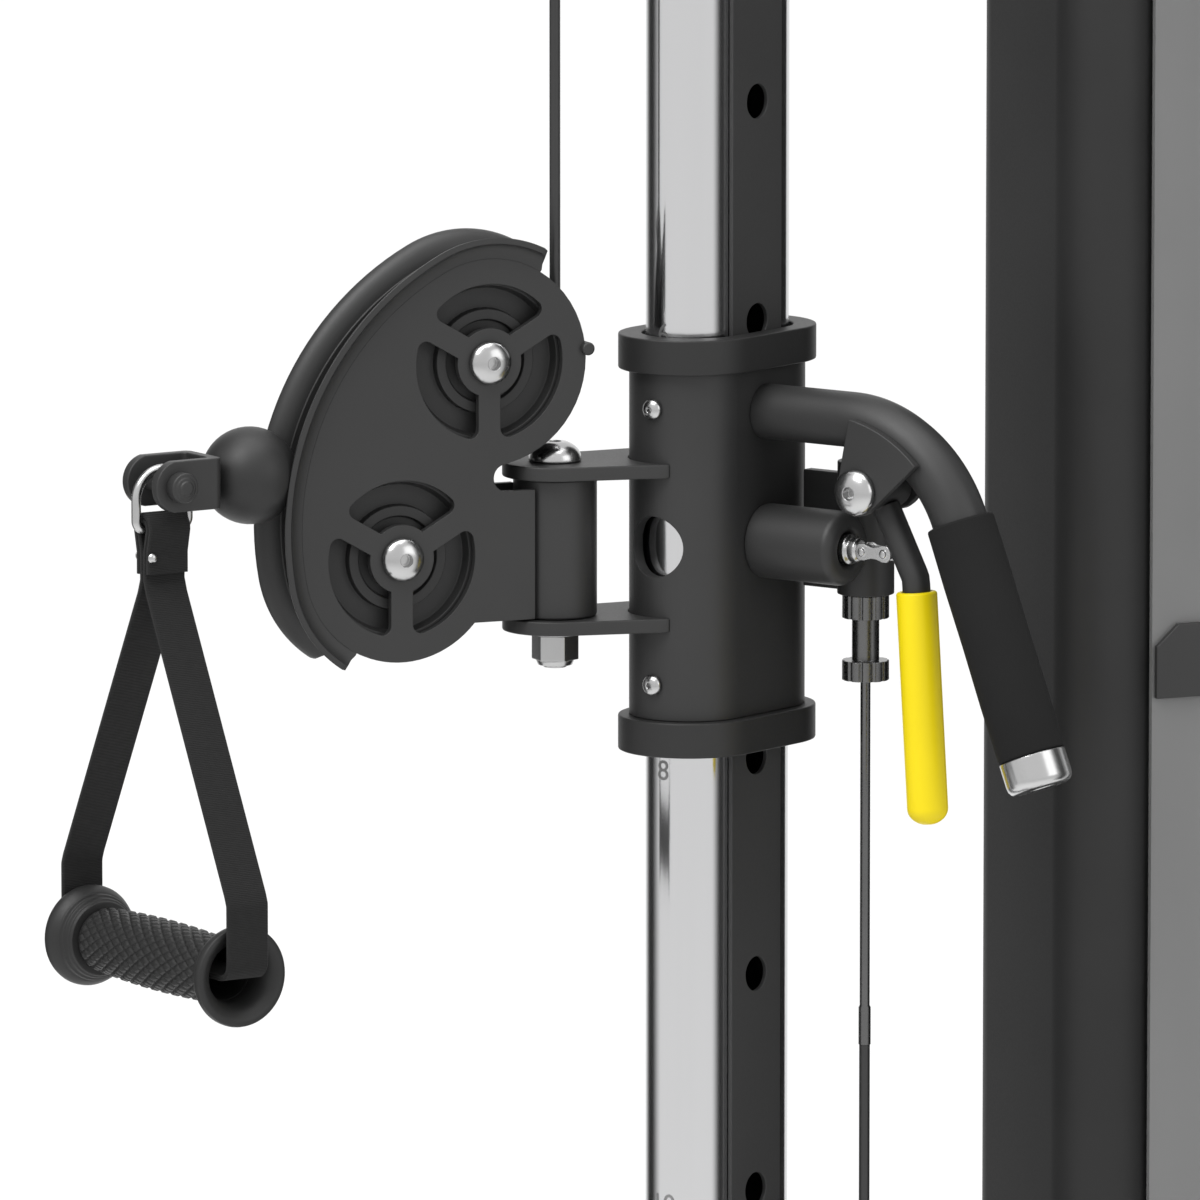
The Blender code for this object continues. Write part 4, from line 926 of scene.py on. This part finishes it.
def make_sleeve():
    sleeve = oval_ring("sleeve", SLEEVE_HALF, SLEEVE_BORE, -SLEEVE_HALF_HEIGHT, SLEEVE_HALF_HEIGHT,
                       "black_coat", "carriage_sleeve", SLEEVE_EDGE)
    window = drill(along(carriage(SLEEVE_HALF[0], 0, 0), U), WINDOW_RADIUS, 0.03)
    plunger_hole = drill(along(carriage(0, SLEEVE_HALF[1], 0), N), PLUNGER_RADIUS + 0.0005, 0.02)
    carve(sleeve, "DIFFERENCE", [window, plunger_hole], SLEEVE_EDGE)
    low = SLEEVE_HALF_HEIGHT + GAP
    for name, bottom in (("upper_collar", low), ("lower_collar", -low - COLLAR_HEIGHT)):
        oval_ring(f"moulded_{name}", COLLAR_HALF, COLLAR_BORE, bottom, bottom + COLLAR_HEIGHT,
                  "black_plastic", name, 0.0028)
    screw = button(0.0048, 0.0026, SLEEVE_HALF[0] + 0.0002, 0.002, 0.0013)
    screw += [(0.002, SLEEVE_HALF[0] - 0.001), (0, SLEEVE_HALF[0] - 0.001)]
    for index, height in enumerate((0.063, -0.063)):
        piece(f"sleeve_screw_{index}", turned(screw, 36), along(carriage(0, 0, height), U), "bright_steel",
              "carriage", edge=0.0002)


def handle_route():
    """The handle's middle line to the end of its bend, that end, and the tip, as (out, up) pairs."""
    route = [(GAP, HANDLE_Z)] + arc(HANDLE_CENTRE, HANDLE_BEND, 90, 90 - degrees(HANDLE_TURN), 40)
    end = route[-1]
    direction = (cos(HANDLE_TURN), -sin(HANDLE_TURN))
    tip = (end[0] + direction[0] * HANDLE_GRIP_LENGTH, end[1] + direction[1] * HANDLE_GRIP_LENGTH)
    return route, end, tip


def make_carriage_handle():
    route, end, tip = handle_route()
    points = [lever_plane(n, z) for n, z in route + [tip]]
    piece("bent_tube", sweep(points, HANDLE_TUBE_RADIUS), Matrix(), "black_coat", "carriage", ["handle_tube"])
    matrix = along(lever_plane(*end), lever_plane(*tip) - lever_plane(*end))
    bore, outer, length = HANDLE_TUBE_RADIUS + GAP, 0.0155, HANDLE_GRIP_LENGTH
    foam = [(bore, length), (outer, length), (outer + 0.0002, length * 0.75), (outer, length / 2),
            (outer + 0.0002, length * 0.25), (outer, 0), (bore, 0)]
    sleeve = piece("foam_sleeve", turned(foam, 72), matrix, "black_foam", "carriage", ["handle_foam"],
                   edge=0.0014)
    close = length + 0.0155
    cap = [(0, close - 0.002), (0.0052, close - 0.002), (0.006, close - 0.0004), (0.0075, close),
           (0.0118, close), (0.0138, close - 0.0008), (0.0149, close - 0.0024), (0.01525, close - 0.0045),
           (0.01525, length + 0.0006), (0.015, length + GAP), (0, length + GAP)]
    piece("steel_end_cap", turned(cap, 64), matrix, "bright_steel", "carriage", ["handle_end_cap"],
          edge=0.0002)


def make_gussets():
    outline = arc(HANDLE_CENTRE, HANDLE_BEND + 0.0035, 46, 81, 24)
    outline += arc(LEVER_PIVOT, 0.011, 170, 310, 24)
    hole = circle(LEVER_PIVOT, LEVER_BOLT_RADIUS + GAP, 32)
    for name, side in (("lever_gusset_front", 1), ("lever_gusset_rear", -1)):
        middle = side * (GUSSET_INNER + GUSSET_THICKNESS / 2)
        matrix = placed(lever_plane(0, 0, middle), N, UP)
        piece(f"smooth_{name}", flat([outline, hole], GUSSET_THICKNESS), matrix, "black_coat", "carriage",
              [name], edge=0.0005)
    face = GUSSET_INNER + GUSSET_THICKNESS + GAP
    dome = button(0.0105, 0.0055, face, LEVER_BOLT_RADIUS, 0.003)
    piece("lever_fastener", turned(both_ends(dome), 48), along(lever_plane(*LEVER_PIVOT), -U), "bright_steel",
          "carriage", ["lever_bolt"], edge=0.0002)


def make_lever():
    lean = Vector((sin(LEVER_LEAN), -cos(LEVER_LEAN)))
    knee, pivot = Vector(LEVER_KNEE), Vector(LEVER_PIVOT)
    start = (knee - pivot).normalized()
    bend = [knee - start * 0.004 * share for share in (1, 0.5)]
    bend += [knee + (lean - start) * 0.0004, knee + lean * 0.003]
    route = [pivot + start * 0.0092] + bend + [knee + lean * 0.0995]
    rod = sweep([lever_plane(*spot) for spot in route], LEVER_RADIUS)
    boss_half = GUSSET_INNER - 2 * GAP
    bore = LEVER_BOLT_RADIUS + GAP
    boss = turned([(bore, boss_half), (0.0095, boss_half), (0.0095, -boss_half), (bore, -boss_half)], 48)
    mesh = joined("lever", [(rod, Matrix()), (boss, along(lever_plane(*LEVER_PIVOT), U))])
    piece("bent_lever", mesh, Matrix(), "black_coat", "lever", ["release_lever"], edge=0.0005)
    down = (lever_plane(*(knee + lean)) - lever_plane(*knee)).normalized()
    bore, outer = LEVER_RADIUS + GAP, 0.0093
    quarter = [radians(9 * k) for k in range(10)]
    tip = [(outer * cos(a), 0.0985 + 0.0075 * sin(a)) for a in quarter]
    vinyl = [(0, 0.106)] + tip[::-1][1:]
    vinyl += [(outer, 0.05), (outer, 0.0008), (outer - 0.0008, 0), (bore, 0), (bore, 0.096), (0, 0.096)]
    piece("vinyl_sleeve", turned(vinyl, 56), along(lever_plane(*knee) + 0.006 * down, down), "yellow_plastic",
          "lever", ["lever_sleeve"], edge=0.0003)


def make_plunger():
    matrix = along(lever_plane(0, 0), N)
    bore, radius, length = PLUNGER_RADIUS + 0.0005, HOUSING_RADIUS, HOUSING_LENGTH
    housing = [(bore, length - 0.002), (bore + 0.002, length), (radius - 0.004, length),
               (radius - 0.0012, length - 0.0018), (radius, length - 0.0045), (radius, GAP), (bore, GAP)]
    piece("housing", turned(housing, 72), matrix, "black_coat", "carriage", ["plunger_housing"], edge=0.0006)
    pin = [(0, 0.0535), (0.0045, 0.0535), (0.0055, 0.0525), (0.0055, 0.049), (PLUNGER_RADIUS, 0.048),
           (PLUNGER_RADIUS, PLUNGER_TIP + 0.0015), (PLUNGER_RADIUS - 0.0015, PLUNGER_TIP), (0, PLUNGER_TIP)]
    piece("locking_pin", turned(pin, 48), matrix, "bright_steel", "plunger", ["plunger_pin"], edge=0.0002)


def make_chain_link():
    """Two figure-eight side plates on riveted pins, from the plunger's eye to the lever."""
    near, far, plate_half = 0.0565, 0.0685, 0.0034
    waist = [(x, 0.0038 - 0.0012 * sin(pi * (x - near - 0.001) / (far - near - 0.002)))
             for x in [near + 0.001 + (far - near - 0.002) * k / 10 for k in range(11)]]
    lower = [(x, -y) for x, y in waist]
    outline = lower + arc((far, 0), 0.004, -70, 70, 16) + waist[::-1] + arc((near, 0), 0.004, 110, 250, 16)
    parts = [(flat([outline], 0.0012), raised(side * plate_half)) for side in (1, -1)]
    pin = both_ends([(0, plate_half + 0.0016), (0.0016, plate_half + 0.0016), (0.0019, plate_half + 0.0008),
                     (0.0019, plate_half + 0.0004)])
    roller = both_ends([(0.0019, plate_half - 0.0008), (0.0031, plate_half - 0.0008)])
    for spot in (near, far):
        parts.append((turned(pin, 28), Matrix.Translation((spot, 0, 0))))
        parts.append((turned(roller, 36), Matrix.Translation((spot, 0, 0))))
    matrix = placed(lever_plane(0, 0), N, UP)
    piece("chain_link", joined("chain", parts), matrix, "bright_steel", "plunger", edge=0.0002)


def make_anchor():
    place = Matrix.Translation(carriage(ANCHOR_U, ANCHOR_N, 0))
    tube_wall = turned([(0.0068, 0.036), (0.013, 0.036), (0.013, -0.025), (0.0068, -0.025)], 56)
    tube_wall.transform(place)
    web = flat([[(SLEEVE_HALF[1] + GAP, -0.024), (ANCHOR_N - 0.0125, -0.024), (ANCHOR_N - 0.0125, 0.0295),
                 (SLEEVE_HALF[1] + GAP, 0.0295)]], 0.006)
    web.transform(placed(carriage(ANCHOR_U, 0, 0), N, UP))
    mesh = joined("lug", [(tube_wall, Matrix()), (web, Matrix())])
    piece("welded_lug", mesh, Matrix(), "black_coat", "carriage", ["anchor_lug"], edge=0.0006)
    shank, nut = 0.00625, 0.0107
    core = turned([(0, 0.042), (0.006, 0.042), (0.009, 0.04), (0.009, 0.0363), (shank, 0.0363),
                   (shank, -0.064), (0.004, -0.0645), (0, -0.0645)], 48)
    parts = [(core, Matrix())]
    for low, high in ((-0.036, -0.0253), (-0.0645, -0.0555)):
        parts.append((ribbed(nut, high - low), raised((low + high) / 2)))
    piece("threaded_fitting", joined("fitting", parts), place, "dark_steel", "carriage", ["anchor_fitting"],
          edge=0.0002)


def ribbed(radius, height):
    """A round nut with a flat-ribbed edge."""
    edge = []
    for index in range(96):
        angle = 360 * index / 96
        deep = 0.0007 if index % 8 in (6, 7) else 0.0
        edge += arc((0, 0), radius - deep, angle, angle, 1)[:1]
    return flat([edge, circle((0, 0), 0.006, 32)], height)


# ---- the tower ----
def upright(name, loops, plan_axis, y, look, replaced):
    matrix = placed(Vector((0, COLUMN_Y + y, COLUMN_MIDDLE)), plan_axis, UP.cross(plan_axis))
    piece(name, flat(loops, COLUMN_TOP - COLUMN_BOTTOM), matrix, look, "tower", [replaced])


def make_column():
    outer, inner = stadium(COLUMN_HALF), stadium(COLUMN_HALF, -COLUMN_WALL)
    half = len(outer) // 2
    edge = COLUMN_HALF[1]
    inside = edge - COLUMN_WALL
    loop = [(-COLUMN_SLOT_HALF, edge)] + outer[half:] + outer[:half] + [(COLUMN_SLOT_HALF, edge)]
    loop += [(COLUMN_SLOT_HALF, inside)] + inner[:half][::-1] + inner[half:][::-1]
    loop.append((-COLUMN_SLOT_HALF, inside))
    upright("chrome_tube", [loop], U, 0, "chrome", "column")
    bottom_hole = TOP_HOLE_Z - HOLE_PITCH * (HOLE_COUNT - 1)
    low, high = bottom_hole - 0.05, TOP_HOLE_Z + 0.05
    middle = (low + high) / 2
    heights = [TOP_HOLE_Z - HOLE_PITCH * index - middle for index in range(HOLE_COUNT)]
    border = [(-STRIP_HALF_WIDTH, low - middle), (STRIP_HALF_WIDTH, low - middle),
              (STRIP_HALF_WIDTH, high - middle), (-STRIP_HALF_WIDTH, high - middle)]
    place = COLUMN_CENTRE + (middle - CARRIAGE_Z) * UP + (COLUMN_HALF[1] + GAP + STRIP_THICKNESS / 2) * N
    mesh = flat([border] + [circle((0, height), HOLE_RADIUS) for height in heights], STRIP_THICKNESS)
    piece("perforated_strip", mesh, placed(place, U, UP), "black_strip", "tower", ["hole_strip"], edge=0.0004)


def make_posts():
    loops = [stadium(POST_HALF), stadium(POST_HALF, -POST_WALL)]
    upright("oval_post", loops, SIDE, POST_BEHIND, "post_coat", "post")
    upright("oval_rear_post", loops, SIDE, REAR_POST_BEHIND, "post_coat", "rear_post")


def make_numbers():
    """Engraved position numbers down the column's front edge, level with every second hole."""
    face = COLUMN_HALF[0] + 0.00005
    for index in range(1, HOLE_COUNT, 2):
        height = TOP_HOLE_Z - HOLE_PITCH * index - CARRIAGE_Z - 0.0075
        spot = carriage(face, 0, height)
        matrix = placed(spot, UP.cross(U), UP)
        letters = bpy.data.curves.new(f"number_{index}", "FONT")
        letters.body = str(index + 1)
        letters.size = 0.013
        letters.align_x = "CENTER"
        letters.extrude = 0.00012
        number = in_scene(f"number_{index}", letters)
        mesh = evaluated_mesh(number)
        bpy.data.objects.remove(number)
        wrap_on_edge(mesh)
        piece(f"engraved_{index}", mesh, matrix, "ink", "tower")


def wrap_on_edge(mesh):
    """Bends flat lettering round the column's front edge."""
    radius = COLUMN_HALF[1]
    for vert in mesh.vertices:
        turn = vert.co.x / radius
        out = radius + vert.co.z
        vert.co.x, vert.co.z = out * sin(turn), out * cos(turn) - radius


def make_panel_ribs():
    """Slim upright ribs that stiffen the smoked panels, on their inner faces."""
    for name, side in (("right", 1), ("left", -1)):
        for index, y in enumerate((0.21, 0.29, 0.365, 0.446)):
            left, right, front, rear = side * 0.0577 - 0.001, side * 0.0577, y - 0.003, y + 0.003
            loop = [(left, front), (right, front), (right, rear), (left, rear)]
            matrix = placed(Vector((0, COLUMN_Y, COLUMN_MIDDLE)), SIDE, BACK)
            piece(f"panel_rib_{name}_{index}", flat([loop], COLUMN_TOP - COLUMN_BOTTOM - 0.006), matrix,
                  "smoked_panel", "tower", edge=0.0003)


# ---- the cables ----
def cable_run(name, points, replaced, body=None):
    return piece(name, sweep(points, CABLE_RADIUS, smooth=5), Matrix(), "cable_jacket", body, [replaced])


def steps_between(start, end, count):
    return [start.lerp(end, share / count) for share in range(count + 1)]


def make_cables():
    """The runs that lengthen with a slide, built in place on no body."""
    low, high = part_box("front_cable")
    top, bottom = [Vector((0, COLUMN_Y + PIVOT_Y, end[2])) for end in (high, low)]
    front = cable_run("front_run", steps_between(top, bottom, 12), "front_cable")
    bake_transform(front)

    anchor = carriage(ANCHOR_U, ANCHOR_N, -0.0648)
    joint = carriage(ANCHOR_U, ANCHOR_N, -0.233)
    foot = Vector((joint.x, joint.y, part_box("anchor_cable")[0][2]))
    lower = cable_run("anchor_run", steps_between(foot, joint, 24), "anchor_cable")
    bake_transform(lower)
    rod = [(0, 0), (0.0023, 0), (0.0023, 0.15), (0.0028, 0.151), (0.0028, 0.1682), (0, 0.1682)]
    piece("anchor_rod", turned(rod, 32), along(anchor, -UP), "dark_steel", "carriage", edge=0.0002)

    low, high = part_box("stack_cable")
    middle, radius = (low[1] + high[1]) / 2, WRAP_RADIUS
    turn_z = low[2] + radius + CABLE_RADIUS
    heights = [high[2] + (turn_z - high[2]) * share / 24 for share in range(25)]
    route = [(middle - radius, z) for z in heights] + arc((middle, turn_z), radius, 180, 360, 24)[1:-1]
    route += [(middle + radius, z) for z in heights[::-1]]
    loop = cable_run("stack_run", [Vector((0, y, z)) for y, z in route], "stack_cable")
    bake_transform(loop)


def make_head_cable():
    ball, hub = Vector(BALL_AT), Vector(UPPER_HUB)
    lean = degrees(atan2(ball.y - (hub.y - WRAP_RADIUS), ball.x - hub.x))
    route = arc(UPPER_HUB, WRAP_RADIUS, 180, 270 + lean, 40)
    last = Vector(route[-1])
    route.append(tuple(last + (ball - last) * (1 - (BALL_RADIUS + GAP) / (ball - last).length)))
    cable_run("head_run", [head(s, z) for s, z in route], "head_cable", "head")


def make_bracket_flange():
    """The black bracket's outer flange, with a slanted front corner and two bolts, on each panel."""
    low, high = 1.322, 1.356
    corner, front, rear = 0.012, COLUMN_Y + 0.19, COLUMN_Y + 0.262
    outline = [(front + 0.001, low), (rear, low), (rear, high), (front + corner, high),
               (front + 0.001, high - 0.01)]
    for name, side in (("right", 1), ("left", -1)):
        matrix = placed(Vector((side * 0.0628, 0, 0)), BACK, UP)
        piece(f"bracket_flange_{name}", flat([outline], 0.003), matrix, "black_coat", "tower", edge=0.0004)
        dome = button(0.0055, 0.003, 0.0643, 0.002, 0.0016) + [(0.002, 0.06), (0, 0.06)]
        for index, y in enumerate((front + 0.04, front + 0.06)):
            spot = Vector((0, y, (low + high) / 2))
            piece(f"flange_bolt_{name}_{index}", turned(dome, 32), along(spot, side * SIDE), "bright_steel",
                  "tower", edge=0.0002)


def make_keeper():
    """A small pin at the cheeks' rear edge, which keeps the cable in its groove."""
    pin = both_ends([(0, 0.0172), (0.0024, 0.0172), (0.003, 0.0166), (0.003, 0.015)])
    piece("keeper_pin", turned(pin, 32), along(head(UPPER_HUB[0] - 0.0475, UPPER_HUB[1] + 0.004), SIDE),
          "black_coat", "head", edge=0.0002)


dress_frame()
make_cheeks()
make_head_wheels()
make_hinge()
make_pivot_bolt()
make_ball()
make_clevis()
make_ring()
make_strap()
make_grip()
make_sleeve()
make_carriage_handle()
make_gussets()
make_lever()
make_plunger()
make_chain_link()
make_anchor()
make_column()
make_posts()
make_numbers()
make_panel_ribs()
make_cables()
make_head_cable()
make_keeper()
make_bracket_flange()
make_stage()
make_flags()
make_lights()
bpy.context.scene.view_settings.view_transform = "Standard"
make_camera()
